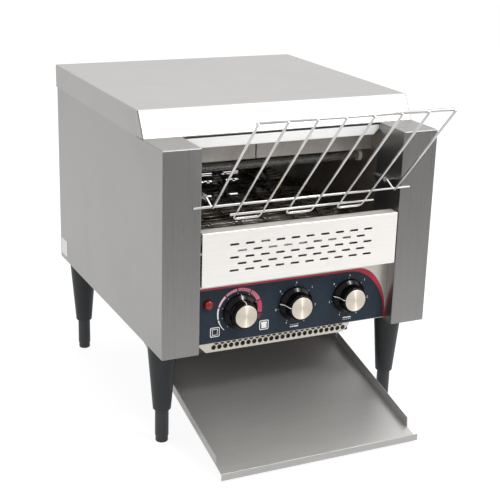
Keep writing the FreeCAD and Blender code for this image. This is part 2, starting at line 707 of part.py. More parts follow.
def makeInnerWall(name, side):
    body = newBody("inner_wall_" + name)
    low, high = mirrored(side, chamberHalf, chamberOuter)
    outline = rectangle((s.pillarDepth, chamberRear), (s.sheetSteel, innerWallTop))
    pad(body, "YZ_Plane", [outline], low, high)
    top, bottom = tubePlaces()
    holes = [(setback, height, s.capCeramicRadius + s.ceramicFit)
             for setback, height in top + bottom]
    holes.append((driveSetback, s.shaftHeight, s.bushRadius + s.bushFit))
    if side == RIGHT:
        holes.append((motorSetback, s.motorHeight, s.motorShaftHole))
    pocket(body, "YZ_Plane", holes, low - s.overrun, high + s.overrun)


def makeReflectors():
    t = s.sheetSteel
    upper = newBody("upper_reflector")
    plateTop = reflectorHeight + t
    apronFoot = reflectorHeight - s.apronDrop
    rearApronFoot = reflectorHeight - s.rearApronDrop
    profile = [
        (s.apronSetback, apronFoot), (s.apronSetback + t, apronFoot),
        (s.apronSetback + t, reflectorHeight), (reflectorRear, reflectorHeight),
        (reflectorRear, rearApronFoot), (reflectorRear + t, rearApronFoot),
        (reflectorRear + t, plateTop), (s.apronSetback + t, plateTop),
        (s.apronSetback + t, innerWallTop), (s.apronSetback, innerWallTop)]
    pad(upper, "YZ_Plane", [profile], -chamberHalf, chamberHalf)
    slit = rectangle((-s.apronSlitLeft, s.apronSlit - s.apronSlitLeft),
                     (apronFoot - s.overrun, innerWallTop - s.flangeWidth))
    pocket(upper, "XZ_Plane", [slit], s.apronSetback - s.overrun, s.apronSetback + t)

    lower = newBody("lower_reflector")
    front = s.controlFace + t
    rear = dropFront - s.lowerReflectorGap
    level = s.shaftHeight - s.lowerReflectorDrop
    plate = [(front, level), (rear, level), (rear, level + t), (front, level + t)]
    pad(lower, "YZ_Plane", [plate], -chamberHalf, chamberHalf)


def makeTubes():
    """Quartz heating tubes above and inside the belt, and their ceramic ends."""
    caps = []
    tubeHalf = chamberHalf - s.tubeSideGap
    for label, places in zip(("top_heating_tubes", "bottom_heating_tubes"), tubePlaces()):
        tubes = [rod("tube", "X", s.tubeRadius, (-tubeHalf, tubeHalf), place)
                 for place in places]
        keep(group(label, tubes), label)
        for place in places:
            for side in (LEFT, RIGHT):
                tail = mirrored(side, tubeHalf, chamberOuter + s.ceramicTail)
                rim = mirrored(side, chamberOuter, chamberOuter + s.ceramicFlange)
                caps.append(join("end_cap", [
                    rod("cap_tail", "X", s.capCeramicRadius, tail, place),
                    rod("cap_rim", "X", s.capCeramicRadius + s.ceramicFlangeRim, rim, place)]))
    keep(group("tube_end_caps", caps), "tube_end_caps")


# Conveyor

def stadium(radius, low, high):
    """A flat-sided loop round both shafts, as one solid between two X levels."""
    front, rear = float(s.idlerSetback), float(driveSetback)
    level = float(s.shaftHeight)
    radius, low, high = float(radius), float(low), float(high)
    top, foot = level + radius, level - radius
    corners = [Vector(low, front, top), Vector(low, rear, top),
               Vector(low, rear, foot), Vector(low, front, foot)]
    edges = [
        Part.LineSegment(corners[0], corners[1]).toShape(),
        Part.Arc(corners[1], Vector(low, rear + radius, level), corners[2]).toShape(),
        Part.LineSegment(corners[2], corners[3]).toShape(),
        Part.Arc(corners[3], Vector(low, front - radius, level), corners[0]).toShape()]
    return Part.Face(Part.Wire(edges)).extrude(Vector(high - low, 0, 0))


def makeBelt():
    """Ladder belt: an endless band with its openings cut through both runs."""
    wide = chamberHalf - s.beltSideGap
    outer = s.beltRadius + s.beltThickness / 2
    band = stadium(outer, -wide, wide).cut(
        stadium(s.beltRadius - s.beltThickness / 2, -wide - s.overrun, wide + s.overrun))
    run = float(driveSetback - s.idlerSetback)
    rows = int(run // float(s.beltLinkPitch))
    across = COUNTS["beltCellCount"]
    cellPitch = float(2 * wide) / across
    cellWidth = cellPitch - float(s.beltRung)
    cellLength = float(s.beltLinkPitch - s.beltRung)
    height = float(2 * (outer + s.overrun))
    foot = float(s.shaftHeight - outer - s.overrun)
    start = float(s.idlerSetback) + (run - rows * float(s.beltLinkPitch) + float(s.beltRung)) / 2
    cells = []
    for row in range(rows):
        for column in range(across):
            corner = Vector(cellPitch * (column + 0.5) - float(wide) - cellWidth / 2,
                            start + row * float(s.beltLinkPitch), foot)
            cells.append(Part.makeBox(cellWidth, cellLength, height, corner))
    formed("conveyor_belt", band.cut(Part.makeCompound(cells)))


def wheelPlaces():
    reach = chamberHalf - s.beltSideGap - s.wheelInset
    step = 2 * reach / (COUNTS["wheelCount"] - 1)
    return [step * number - reach for number in range(COUNTS["wheelCount"])]


def makeWheels(label, setback, toothed):
    """Belt wheels with hubs on one shaft; the driving ones are notched."""
    wheels = []
    centre = (setback, s.shaftHeight)
    for across in wheelPlaces():
        disc = rod("wheel_disc", "X", wheelRadius,
                   (across - s.wheelWidth / 2, across + s.wheelWidth / 2), centre)
        hub = rod("wheel_hub", "X", s.hubRadius,
                  (across - s.hubWidth / 2, across + s.hubWidth / 2), centre)
        tools = [rod("wheel_bore", "X", s.shaftRadius + s.shaftFit,
                     (across - s.hubWidth, across + s.hubWidth), centre)]
        if toothed:
            for number in range(COUNTS["toothCount"]):
                turned = 2 * math.pi * number / COUNTS["toothCount"]
                reach = wheelRadius - s.toothDepth
                notch = rod("tooth_gap", "X", s.toothWidth / 2,
                            (across - s.hubWidth, across + s.hubWidth),
                            (setback + (reach + s.toothWidth / 2) * math.cos(turned),
                             s.shaftHeight + (reach + s.toothWidth / 2) * math.sin(turned)))
                tools.append(notch)
        wheels.append(cut("wheel", join("wheel_blank", [disc, hub]), tools))
    keep(group(label, wheels), label)


def makeShafts():
    driveEnd = sprocketLane + s.sprocketWidth + s.chainSide + s.shaftRadius / 2
    left = -chamberOuter - s.shaftStub
    keep(rod("drive_shaft", "X", s.shaftRadius, (left, driveEnd),
             (driveSetback, s.shaftHeight)), "drive_shaft")
    reach = chamberOuter + s.bushOuter
    keep(rod("idler_shaft", "X", s.shaftRadius, (-reach, reach),
             (s.idlerSetback, s.shaftHeight)), "idler_shaft")


def makeBushes():
    """Flanged bushes for both shafts, with their rims outside the chamber."""
    bushes = []
    inner, outer = chamberHalf - s.bushInner, chamberOuter + s.bushOuter
    for setback in (driveSetback, s.idlerSetback):
        for side in (LEFT, RIGHT):
            centre = (setback, s.shaftHeight)
            rim = mirrored(side, chamberOuter, chamberOuter + s.bushFlangeThickness)
            blank = join("bush_blank", [
                rod("bush_barrel", "X", s.bushRadius, mirrored(side, inner, outer), centre),
                rod("bush_rim", "X", s.bushRadius + s.bushFlange, rim, centre)])
            bore = rod("bush_bore", "X", s.shaftRadius + s.shaftFit,
                       mirrored(side, inner - s.overrun, outer + s.overrun), centre)
            bushes.append(cut("bush", blank, [bore]))
    keep(group("shaft_bushes", bushes), "shaft_bushes")


def makeSprocket(label, radius, bore, centre, teeth):
    """Chain sprocket with shallow round tooth gaps."""
    span = (sprocketLane, sprocketLane + s.sprocketWidth)
    through = (sprocketLane - s.overrun, sprocketLane + s.sprocketWidth + s.overrun)
    tools = [rod("sprocket_bore", "X", bore, through, centre)]
    for number in range(teeth):
        turned = 2 * math.pi * number / teeth
        tools.append(rod("sprocket_gap", "X", s.toothWidth / 2, through,
                         (centre[0] + radius * math.cos(turned),
                          centre[1] + radius * math.sin(turned))))
    disc = rod("sprocket_disc", "X", radius, span, centre)
    keep(cut(label, disc, tools), label)


def beltLoop(first, second, low, high):
    """Solid inside a tight loop round two circles, each (y, z, radius)."""
    gapY, gapZ = second[0] - first[0], second[1] - first[1]
    length = math.hypot(gapY, gapZ)
    heading = math.atan2(gapZ, gapY)
    offset = math.acos((first[2] - second[2]) / length)

    def onCircle(circle, angle):
        return Vector(low, circle[0] + circle[2] * math.cos(angle),
                      circle[1] + circle[2] * math.sin(angle))

    a, b = onCircle(first, heading + offset), onCircle(second, heading + offset)
    c, d = onCircle(second, heading - offset), onCircle(first, heading - offset)
    edges = [
        Part.LineSegment(a, b).toShape(),
        Part.Arc(b, onCircle(second, heading), c).toShape(),
        Part.LineSegment(c, d).toShape(),
        Part.Arc(d, onCircle(first, heading + math.pi), a).toShape()]
    return Part.Face(Part.Wire(edges)).extrude(Vector(high - low, 0, 0))


def makeChain():
    low = float(sprocketLane - s.chainSide)
    high = float(sprocketLane + s.sprocketWidth + s.chainSide)
    gap, thick = float(s.wheelClearance), float(s.chainThickness)

    def circles(extra):
        return ((float(motorSetback), float(s.motorHeight),
                 float(s.motorSprocketRadius) + extra),
                (float(driveSetback), float(s.shaftHeight), float(s.drivenRadius) + extra))

    extra = float(s.overrun)
    band = beltLoop(*circles(gap + thick), low, high).cut(
        beltLoop(*circles(gap), low - extra, high + extra))
    formed("drive_chain", band)


def makeMotor():
    centre = (motorSetback, s.motorHeight)
    gearFront = chamberHalf - s.gearboxLength
    gearbox = box("gearbox", (gearFront, chamberHalf),
                  (motorSetback - s.gearboxHalf, motorSetback + s.gearboxHalf),
                  (s.motorHeight - s.gearboxHalf, s.motorHeight + s.gearboxHalf))
    can = rod("motor_can", "X", s.motorRadius, (gearFront - s.motorLength, gearFront), centre)
    seat = rod("motor_seat", "X", s.motorShaftRadius + s.shaftFit,
               (chamberHalf - s.motorShaftSeat, chamberHalf + s.overrun), centre)
    keep(cut("gearmotor", join("motor_blank", [gearbox, can]), [seat]), "gearmotor")
    end = sprocketLane + s.sprocketWidth + s.motorShaftRadius / 2
    keep(rod("motor_shaft", "X", s.motorShaftRadius,
             (chamberHalf - s.motorShaftSeat + s.shaftFit, end), centre), "motor_shaft")
    makeSprocket("motor_sprocket", s.motorSprocketRadius, s.motorShaftRadius + s.shaftFit,
                 centre, COUNTS["toothCount"])
    makeSprocket("driven_sprocket", s.drivenRadius, s.shaftRadius + s.shaftFit,
                 (driveSetback, s.shaftHeight), COUNTS["drivenToothCount"])
    makeChain()


def makeSlide():
    """Bent sheet behind the belt that sends the toast down to the tray."""
    body = newBody("toast_slide")
    t = s.sheetSteel
    start = dropRear
    foot = s.sheetSteel
    topY, topZ = start + s.slideRun, foot + s.slideRise
    profile = [(start, foot), (start + s.slideFoot, foot), (start + s.slideFoot, foot + t),
               (start + 2 * t, foot + t), (topY, topZ), (topY - t, topZ + t), (start, foot + t)]
    pad(body, "YZ_Plane", [profile], -chamberHalf, chamberHalf)


# Feed rack

def wire(points, radius):
    """Round wire along straight runs, with a ball in every corner."""
    runs = [Part.makeCylinder(radius, (end - start).Length, start, end - start)
            for start, end in zip(points, points[1:])]
    balls = [Part.makeSphere(radius, point) for point in points[1:-1]]
    return runs + balls


def makeRack():
    """Wire rack that leans out of the feed opening and lifts the bread in."""
    thin, thick = float(s.rackWire), float(s.rackRail)
    weld = float(s.rackWeld)
    down = Vector(0, leanSide, -leanUp)
    above = Vector(0, leanUp, leanSide)
    rest = Vector(0, -thin - float(s.rackGap), float(rackRestHeight))
    knee = rest - above * (2 * thin - weld)
    topEnd = knee - down * float(s.rackLength + s.rackOverrun)
    foot = knee + down * float(s.rackFootLength)
    tail = [knee, knee + Vector(0, float(s.rackTailRun), float(s.rackTailRise))]
    tail.append(tail[1] + Vector(0, float(s.rackTailLength), 0))

    def across(point, x):
        return Vector(x, point.y, point.z)

    places = [float(rackPitch * number - rackOffset) for number in range(COUNTS["rackWireCount"])]
    parts = []
    for x in (places[0], places[-1]):
        parts += wire([across(point, x) for point in [topEnd] + tail], thin)
    for left, right in zip(places[1:-1:2], places[2:-1:2]):
        parts += wire([across(topEnd, left), across(foot, left), across(foot, right),
                       across(topEnd, right)], thin)
    upper = knee - down * float(s.rackLength) + above * (thin + thick - weld)
    lower = knee + down * float(s.rackLowRail) - above * (2 * thin - weld)
    rails = ((upper, places[-1] + float(s.rackRailEnd), thick),
             (rest, float(chamberHalf + s.rackRestOverlap), thin),
             (lower, float(rackOffset - s.rackLowRailInset), thin))
    for centre, end, radius in rails:
        parts += wire([across(centre, -end), across(centre, end)], radius)
    formed("feed_rack", parts[0].multiFuse(parts[1:]).removeSplitter())


def makeSockets():
    """Sleeves on the pillars' inner faces that hold the rack's tails."""
    thin = s.rackWire
    kneeY = -thin - s.rackGap - (2 * thin - s.rackWeld) * leanUp
    kneeZ = rackRestHeight - (2 * thin - s.rackWeld) * leanSide
    height = kneeZ + s.rackTailRise
    start = kneeY + s.rackTailRun + s.rackTailLength - s.socketLength
    bore = thin + s.socketFit
    wall = bore + s.socketWall
    span = (start, start + s.socketLength)
    sockets = []
    for side in (LEFT, RIGHT):
        centre = (side * rackOffset, height)
        sleeve = rod("sleeve", "Y", wall, span, centre)
        arm = box("arm", mirrored(side, rackOffset + bore + s.socketWall / 2, chamberHalf), span,
                  (height - s.socketArm / 2, height + s.socketArm / 2))
        through = (start - s.overrun, start + s.socketLength + s.overrun)
        hole = rod("sleeve_bore", "Y", bore, through, centre)
        sockets.append(cut("socket", join("socket_blank", [sleeve, arm]), [hole]))
    keep(group("rack_sockets", sockets), "rack_sockets")


# Toast tray

def prism(points, along):
    """Straight or slanted extrusion of a flat outline."""
    return Part.Face(Part.makePolygon(points + points[:1])).extrude(along)


def makeTray():
    """Sloping pan with low sides, hung from its two runners at the back."""
    t = float(s.sheetSteel)
    slope = math.tan(math.radians(SIZES["traySlope"]))
    front, rear = -float(s.trayFront), float(dropRear + s.trayRearLap)
    floor = -float(s.trayFloorFront)
    wide, flare, tall = float(trayHalfWidth), float(s.trayFlare), float(s.trayWall)
    gusset = float(s.trayGussetFront)

    def level(y):
        return floor + (y - front) * slope

    def along(start, end):
        return Vector(0, end - start, (end - start) * slope)

    wallStart = front + float(s.trayWallEnd) - float(s.trayWallCut)
    parts = [prism([Vector(-wide, front, floor), Vector(wide, front, floor),
                    Vector(wide, front, floor + t), Vector(-wide, front, floor + t)],
                   along(front, rear))]
    wallFoot = level(wallStart)
    # the walls' front ends slant back from the floor
    cutter = Part.makeBox(4 * wide, wide, wide, Vector(-2 * wide, wallStart - wide, wallFoot))
    slant = math.degrees(math.atan2(float(s.trayWallCut), tall))
    cutter.rotate(Vector(0, wallStart, wallFoot), Vector(1, 0, 0), -slant)
    for side in (LEFT, RIGHT):
        edge = side * wide
        inner = side * (wide - t)
        rim = wallFoot + tall
        outline = [Vector(edge, wallStart, wallFoot), Vector(edge + side * flare, wallStart, rim),
                   Vector(edge + side * (flare - t), wallStart, rim),
                   Vector(inner, wallStart, wallFoot + t)]
        wall = prism(outline, along(wallStart, gusset))
        parts.append(wall.cut(cutter))
        # gusset that rises to the runner, and the wing that rides in it
        wingTop = -float(s.runnerDepth) + t + float(s.runnerRunningGap) + t
        lowX = min(edge, inner)
        points = [Vector(lowX, gusset, level(gusset)), Vector(lowX, rear, level(rear)),
                  Vector(lowX, rear, wingTop),
                  Vector(lowX, gusset + float(s.trayGussetLean), wingTop)]
        parts.append(prism(points, Vector(t, 0, 0)))
        wing = Part.makeBox(float(s.trayWing), rear - gusset - float(s.trayGussetLean), t)
        wingLow = edge if side == RIGHT else edge - float(s.trayWing)
        wing.translate(Vector(wingLow, gusset + float(s.trayGussetLean), wingTop - t))
        parts.append(wing)
    spread = wide + float(s.trayLipSpread)
    lipFoot = floor - float(s.trayLipDrop)
    parts.append(Part.makeBox(2 * spread, t, float(s.trayLip), Vector(-spread, front - t, lipFoot)))
    formed("toast_tray", parts[0].multiFuse(parts[1:]).removeSplitter())


def makeRunners():
    """Channels under the base, open towards the middle, for the tray's wings."""
    runners = []
    runnerRear = rearFace - s.runnerRearGap
    for side in (LEFT, RIGHT):
        inner = trayHalfWidth + s.runnerSideGap
        outer = inner + s.runnerWidth
        span = (s.runnerFront, runnerRear)
        block = box("runner_block", mirrored(side, inner, outer), span,
                    (-s.runnerDepth, asDim(0)))
        channel = box("runner_channel", mirrored(side, inner - s.overrun, outer - s.sheetSteel),
                      (s.runnerFront - s.overrun, runnerRear + s.overrun),
                      (s.sheetSteel - s.runnerDepth, -s.sheetSteel))
        runners.append(cut("runner", block, [channel]))
    keep(group("tray_runners", runners), "tray_runners")


# Legs

def makeLeg(name, side, setback):
    """Tapered plastic leg with its stud, and the screw foot inside it."""
    across = side * legOffset
    leg = newBody("leg_" + name, across, setback, 0)
    bore = s.footRadius + s.footBoreFit
    boreTop = s.legBoreDepth - s.legCone
    profile = [
        (0, s.studLength), (s.studRadius, s.studLength), (s.studRadius, 0),
        (s.legTopRadius, 0), (s.legFootRadius, -s.legCone), (bore, -s.legCone),
        (bore, boreTop), (0, boreTop)]
    turn(leg, "XZ_Plane", profile, "V_Axis")
    foot = newBody("foot_" + name, across, setback, 0)
    ground = -s.legHeight
    rim = s.footRadius
    footProfile = [
        (0, s.footThread - s.legCone), (rim, s.footThread - s.legCone),
        (rim, ground + s.footTip), (s.footTipRadius, ground + s.footTip),
        (s.footTipRadius, ground), (0, ground)]
    turn(foot, "XZ_Plane", footProfile, "V_Axis")


# Back of the casing and small fittings

def makeGland():
    centre = (glandRight, s.glandHeight)
    rim = s.glandRadius + s.glandRim
    pieces = [
        rod("gland_barrel", "Y", s.glandRadius,
            (backInner - s.glandNut, rearFace + s.glandReach), centre),
        rod("gland_rim", "Y", rim, (rearFace, rearFace + s.glandRimThickness), centre),
        rod("gland_nut", "Y", rim, (backInner - s.glandNut, backInner), centre)]
    bore = rod("gland_bore", "Y", s.glandBore,
               (backInner - s.glandNut - s.overrun, rearFace + s.glandReach + s.overrun), centre)
    keep(cut("cord_gland", join("gland_blank", pieces), [bore]), "cord_gland")


def screw(face, across, height):
    head = rod("screw_head", "Y", s.screwHead, (face, face + s.screwHeadHeight), (across, height))
    shank = rod("screw_shank", "Y", s.screwRadius, (face - s.screwLength, face), (across, height))
    return join("screw", [head, shank])


def makeScrews():
    hoodFace = rearFace + s.hoodOverhang
    pieces = [screw(rearFace, side * backScrewOffset, height)
              for side in (LEFT, RIGHT) for height in backScrewHeights()]
    pieces += [screw(hoodFace, across, hoodScrewHeight) for across in hoodScrewPlaces()]
    keep(group("rear_screws", pieces), "rear_screws")


def makeFittings():
    right = innerHalf - s.terminalSideGap
    back = legRear - s.terminalRearGap
    keep(box("terminal_block", (right - s.terminalWidth, right),
             (back - s.terminalLength, back),
             (s.sheetSteel, s.sheetSteel + s.terminalHeight)), "terminal_block")
    rear = rearFace - s.plateInset
    keep(box("rating_plate", (-half - s.plateThickness, -half), (rear - s.plateLength, rear),
             (s.plateLift, s.plateLift + s.plateHeight)), "rating_plate")


def checkedShapes():
    """Stops the build if any object failed or any sub-part is not sound."""
    doc.recompute()
    for item in doc.Objects:
        if "Invalid" in item.State or "Error" in item.State:
            raise RuntimeError("%s failed: %s" % (item.Label, item.State))
    shapes = {}
    for node in nodes:
        shape = node.Shape
        if shape.isNull() or not shape.isValid() or not shape.Solids:
            raise RuntimeError("%s has no sound solid" % node.Label)
        shapes[node.Label] = shape
    return shapes


makeBase()
for sideName, sideSign in SIDES.items():
    makeSidePanel(sideName, sideSign)
    makePillar(sideName, sideSign)
    makeInnerWall(sideName, sideSign)
makeHood()
makeBackPanel()
makeLintel()
makeSlottedPanel()
makeControlPanel()
makeOverlay()
makeGuard()
for knobName, knobAcross in (("speed", knobLeft), ("top_element", s.knobMiddle),
                             ("bottom_element", knobRight)):
    makeKnob(knobName, knobAcross)
makeSwitch("speed_controller", knobLeft, s.speedBoxHalf, s.speedBoxDepth)
makeSwitch("top_element_switch", s.knobMiddle, s.switchHalf, s.switchDepth)
makeSwitch("bottom_element_switch", knobRight, s.switchHalf, s.switchDepth)
makeLamp()
makeReflectors()
makeTubes()
makeBelt()
makeWheels("drive_wheels", driveSetback, True)
makeWheels("idler_wheels", s.idlerSetback, False)
makeShafts()
makeBushes()
makeMotor()
makeSlide()
makeRack()
makeSockets()
makeTray()
makeRunners()
for endName, legSetback in (("front", s.legFront), ("rear", legRear)):
    for sideName, sideSign in SIDES.items():
        makeLeg(endName + "_" + sideName, sideSign, legSetback)
makeGland()
makeScrews()
makeFittings()

os.makedirs("parts", exist_ok=True)
for label, shape in checkedShapes().items():
    shape.exportStep("parts/%s.step" % label)
    bounds = shape.BoundBox
    print("%-24s %7.1f %7.1f %7.1f  to %7.1f %7.1f %7.1f" % (
        label, bounds.XMin, bounds.YMin, bounds.ZMin, bounds.XMax, bounds.YMax, bounds.ZMax))
print("%d sub-parts" % len(nodes))
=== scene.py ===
import math

import bmesh
import bpy
from mathutils import Matrix, Vector


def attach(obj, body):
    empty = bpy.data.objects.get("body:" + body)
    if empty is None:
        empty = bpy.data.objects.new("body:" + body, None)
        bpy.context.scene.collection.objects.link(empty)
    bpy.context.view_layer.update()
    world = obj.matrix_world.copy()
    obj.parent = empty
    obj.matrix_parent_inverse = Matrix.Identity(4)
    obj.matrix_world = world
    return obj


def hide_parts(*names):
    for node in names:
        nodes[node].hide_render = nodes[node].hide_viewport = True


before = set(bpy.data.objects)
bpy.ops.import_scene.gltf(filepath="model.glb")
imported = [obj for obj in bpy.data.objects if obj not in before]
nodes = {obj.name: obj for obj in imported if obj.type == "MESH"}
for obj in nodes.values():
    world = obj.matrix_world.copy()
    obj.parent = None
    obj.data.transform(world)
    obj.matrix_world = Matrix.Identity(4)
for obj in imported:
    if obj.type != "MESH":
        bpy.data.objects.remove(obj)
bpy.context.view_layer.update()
scene = bpy.context.scene

# Lengths are in millimetres from the middle of the casing's front, at its underside.
casing = {"front": -155.478, "underside": 134.6, "sheet": 1.0}
toFrame = (Matrix.Translation(Vector((0, casing["front"], casing["underside"])) * 0.001)
           @ Matrix.Scale(0.001, 4))
toCasing = toFrame.inverted()
leftAndRight = {"left": -1, "right": 1}


def atPoint(x, y, z):
    return toFrame @ Vector((x, y, z))


def linked(name, data):
    item = bpy.data.objects.new(name, data)
    scene.collection.objects.link(item)
    return item


def pointMesh(name, points, edges=(), faces=()):
    data = bpy.data.meshes.new(name)
    data.from_pydata(points, list(edges), list(faces))
    return data


print("frame loaded:", len(nodes), "nodes")


# Camera: the photograph's own viewpoint.

camera = {"place": (-0.63803, -1.32837, 0.69412), "lens": 82.6763, "sensor": 36.0,
          "turn": (0.79328156, 0.56818924, -0.13900935, -0.16894302), "clip": (0.05, 50)}


def addCamera():
    data = bpy.data.cameras.new("viewpoint")
    data.lens, data.sensor_width = camera["lens"], camera["sensor"]
    data.clip_start, data.clip_end = camera["clip"]
    viewpoint = linked("viewpoint", data)
    viewpoint.rotation_mode = "QUATERNION"
    viewpoint.location = camera["place"]
    viewpoint.rotation_quaternion = camera["turn"]
    scene.camera = viewpoint


addCamera()
scene.view_settings.view_transform = "Standard"
print("camera placed")


# Node helpers

def addNode(tree, kind, inputs=None, **settings):
    made = tree.nodes.new(kind)
    for key, value in settings.items():
        setattr(made, key, value)
    for key, value in (inputs or {}).items():
        socket = made.inputs[key]
        if isinstance(value, bpy.types.NodeSocket):
            tree.links.new(value, socket)
        else:
            socket.default_value = value
    return made


def addMath(tree, operation, first, second=0.0, clamp=False):
    return addNode(tree, "ShaderNodeMath", {0: first, 1: second},
                   operation=operation, use_clamp=clamp).outputs[0]


def spread(tree, value, low, high, newLow=0.0, newHigh=1.0):
    return addNode(tree, "ShaderNodeMapRange",
                   {"Value": value, "From Min": low, "From Max": high,
                    "To Min": newLow, "To Max": newHigh}).outputs["Result"]


def blendColour(tree, factor, first, second, mode="MIX"):
    mix = addNode(tree, "ShaderNodeMix", data_type="RGBA", blend_type=mode)
    for index, value in ((0, factor), (6, first), (7, second)):
        if isinstance(value, bpy.types.NodeSocket):
            tree.links.new(value, mix.inputs[index])
        else:
            mix.inputs[index].default_value = value
    return mix.outputs[2]


def linear(red, green, blue):
    def channel(value):
        value /= 255
        return value / 12.92 if value <= 0.04045 else ((value + 0.055) / 1.055) ** 2.4
    return (channel(red), channel(green), channel(blue), 1.0)


def newGroup(name, inputs, outputs):
    tree = bpy.data.node_groups.new(name, "ShaderNodeTree")
    for label, kind, value in inputs:
        socket = tree.interface.new_socket(label, in_out="INPUT", socket_type=kind)
        socket.default_value = value
    for label, kind in outputs:
        tree.interface.new_socket(label, in_out="OUTPUT", socket_type=kind)
    return tree, tree.nodes.new("NodeGroupInput"), tree.nodes.new("NodeGroupOutput")


def useGroup(tree, group, **inputs):
    return addNode(tree, "ShaderNodeGroup", inputs, node_tree=group).outputs


def objectPlace(tree):
    return addNode(tree, "ShaderNodeTexCoord").outputs["Object"]


def addNoise(tree, place, scale, detail, **more):
    inputs = {"Vector": place, "Scale": scale, "Detail": detail, **more}
    return addNode(tree, "ShaderNodeTexNoise", inputs).outputs["Fac"]


def split(tree, value):
    return addNode(tree, "ShaderNodeSeparateXYZ", {0: value}).outputs


def toned(tone, factor, lift=0.0):
    return tuple(min(1, channel * factor + lift) for channel in tone[:3]) + (1.0,)


number, whole, vector = "NodeSocketFloat", "NodeSocketInt", "NodeSocketVector"
colour, finishKind, itemKind = "NodeSocketColor", "NodeSocketMaterial", "NodeSocketObject"


# Effects that several finishes share

def makeBrushGrain():
    tree, given, result = newGroup(
        "brushGrain", [("Stretch", vector, (20, 900, 900)), ("Contrast", number, 0.1)],
        [("Shade", number), ("Height", number)])
    g = given.outputs
    stretched = addNode(tree, "ShaderNodeVectorMath", {0: objectPlace(tree), 1: g["Stretch"]},
                        operation="MULTIPLY").outputs[0]
    fine = addNoise(tree, stretched, 1.0, 4.0, Roughness=0.65)
    shade = spread(tree, fine, 0.3, 0.7, addMath(tree, "SUBTRACT", 1.0, g["Contrast"]),
                   addMath(tree, "ADD", 1.0, g["Contrast"]))
    tree.links.new(shade, result.inputs["Shade"])
    tree.links.new(fine, result.inputs["Height"])
    return tree


def makeHandling():
    tree, given, result = newGroup(
        "handling", [("Scale", number, 9.0), ("Amount", number, 0.5)], [("Mask", number)])
    g = given.outputs
    cloud = addNoise(tree, objectPlace(tree), g["Scale"], 5.0, Roughness=0.6, Distortion=0.4)
    spots = spread(tree, cloud, 0.45, 0.75)
    tree.links.new(addMath(tree, "MULTIPLY", spots, g["Amount"], clamp=True),
                   result.inputs["Mask"])
    return tree


def makeMouldGrain():
    tree, given, result = newGroup(
        "mouldGrain", [("Scale", number, 1500.0)], [("Height", number), ("Shade", number)])
    place = objectPlace(tree)
    pits = addNoise(tree, place, given.outputs["Scale"], 2.0)
    broad = addNoise(tree, place, 40.0, 3.0)
    tree.links.new(pits, result.inputs["Height"])
    tree.links.new(spread(tree, broad, 0.3, 0.7), result.inputs["Shade"])
    return tree


def makeWornEdges():
    # lighter on sharp convex edges: rubbed wear, and a painted sheen where edges catch light
    tree, given, result = newGroup(
        "wornEdges", [("Strength", number, 1.0)], [("Mask", number)])
    crest = addNode(tree, "ShaderNodeNewGeometry").outputs["Pointiness"]
    broken = addNoise(tree, objectPlace(tree), 220.0, 3.0)
    edge = spread(tree, crest, 0.52, 0.62)
    rubbedAndSheen = addMath(tree, "MULTIPLY", edge, spread(tree, broken, 0.35, 0.6))
    tree.links.new(addMath(tree, "MULTIPLY", rubbedAndSheen, given.outputs["Strength"], clamp=True),
                   result.inputs["Mask"])
    return tree


def makeHeatTint():
    # straw and brown patches, stronger near the heating tubes
    tree, given, result = newGroup(
        "heatTint", [("Colour", colour, (0.5, 0.5, 0.5, 1)), ("Amount", number, 0.6)],
        [("Colour", colour), ("Mask", number)])
    g, place = given.outputs, objectPlace(tree)
    patches = addNoise(tree, place, 14.0, 5.0, Distortion=0.8)
    nearTubes = spread(tree, split(tree, place)["Z"], 0.20, 0.33)
    amount = addMath(tree, "MULTIPLY", spread(tree, patches, 0.3, 0.65), g["Amount"],
                     clamp=True)
    amount = addMath(tree, "MULTIPLY", amount, spread(tree, nearTubes, 0, 1, 0.45, 1.0))
    straw = blendColour(tree, spread(tree, patches, 0.4, 0.7), linear(150, 112, 70),
                        linear(88, 62, 48))
    tree.links.new(blendColour(tree, amount, g["Colour"], straw), result.inputs["Colour"])
    tree.links.new(amount, result.inputs["Mask"])
    return tree


def makeEdgeBand():
    # 1 between two places along an axis, with soft ends
    tree, given, result = newGroup(
        "edgeBand", [("Place", number, 0.0), ("Low", number, 0.0), ("High", number, 1.0),
                     ("Soft", number, 0.0004)], [("Mask", number)])
    g = given.outputs
    rise, fall = [addMath(tree, "DIVIDE", addMath(tree, "SUBTRACT", g[more], g[less]),
                          g["Soft"], clamp=True)
                  for more, less in (("Place", "Low"), ("High", "Place"))]
    tree.links.new(addMath(tree, "MULTIPLY", rise, fall), result.inputs["Mask"])
    return tree


brushGrain, handling, mouldGrain = makeBrushGrain(), makeHandling(), makeMouldGrain()
wornEdges, heatTint, edgeBand = makeWornEdges(), makeHeatTint(), makeEdgeBand()


# Finishes

def newFinish(name, metallic=0.0, **constants):
    finish = bpy.data.materials.new(name)
    finish.use_nodes = True
    tree = finish.node_tree
    shader = tree.nodes["Principled BSDF"]
    shader.inputs["Metallic"].default_value = metallic
    for key, value in constants.items():
        shader.inputs[key].default_value = value
    return finish, tree, shader


def linkSurface(tree, shader, base, roughness, height=None, strength=0.0, distance=0.0):
    tree.links.new(base, shader.inputs["Base Color"])
    tree.links.new(roughness, shader.inputs["Roughness"])
    if height:
        bump = addNode(tree, "ShaderNodeBump", {"Height": height, "Strength": strength,
                                                "Distance": distance})
        tree.links.new(bump.outputs["Normal"], shader.inputs["Normal"])


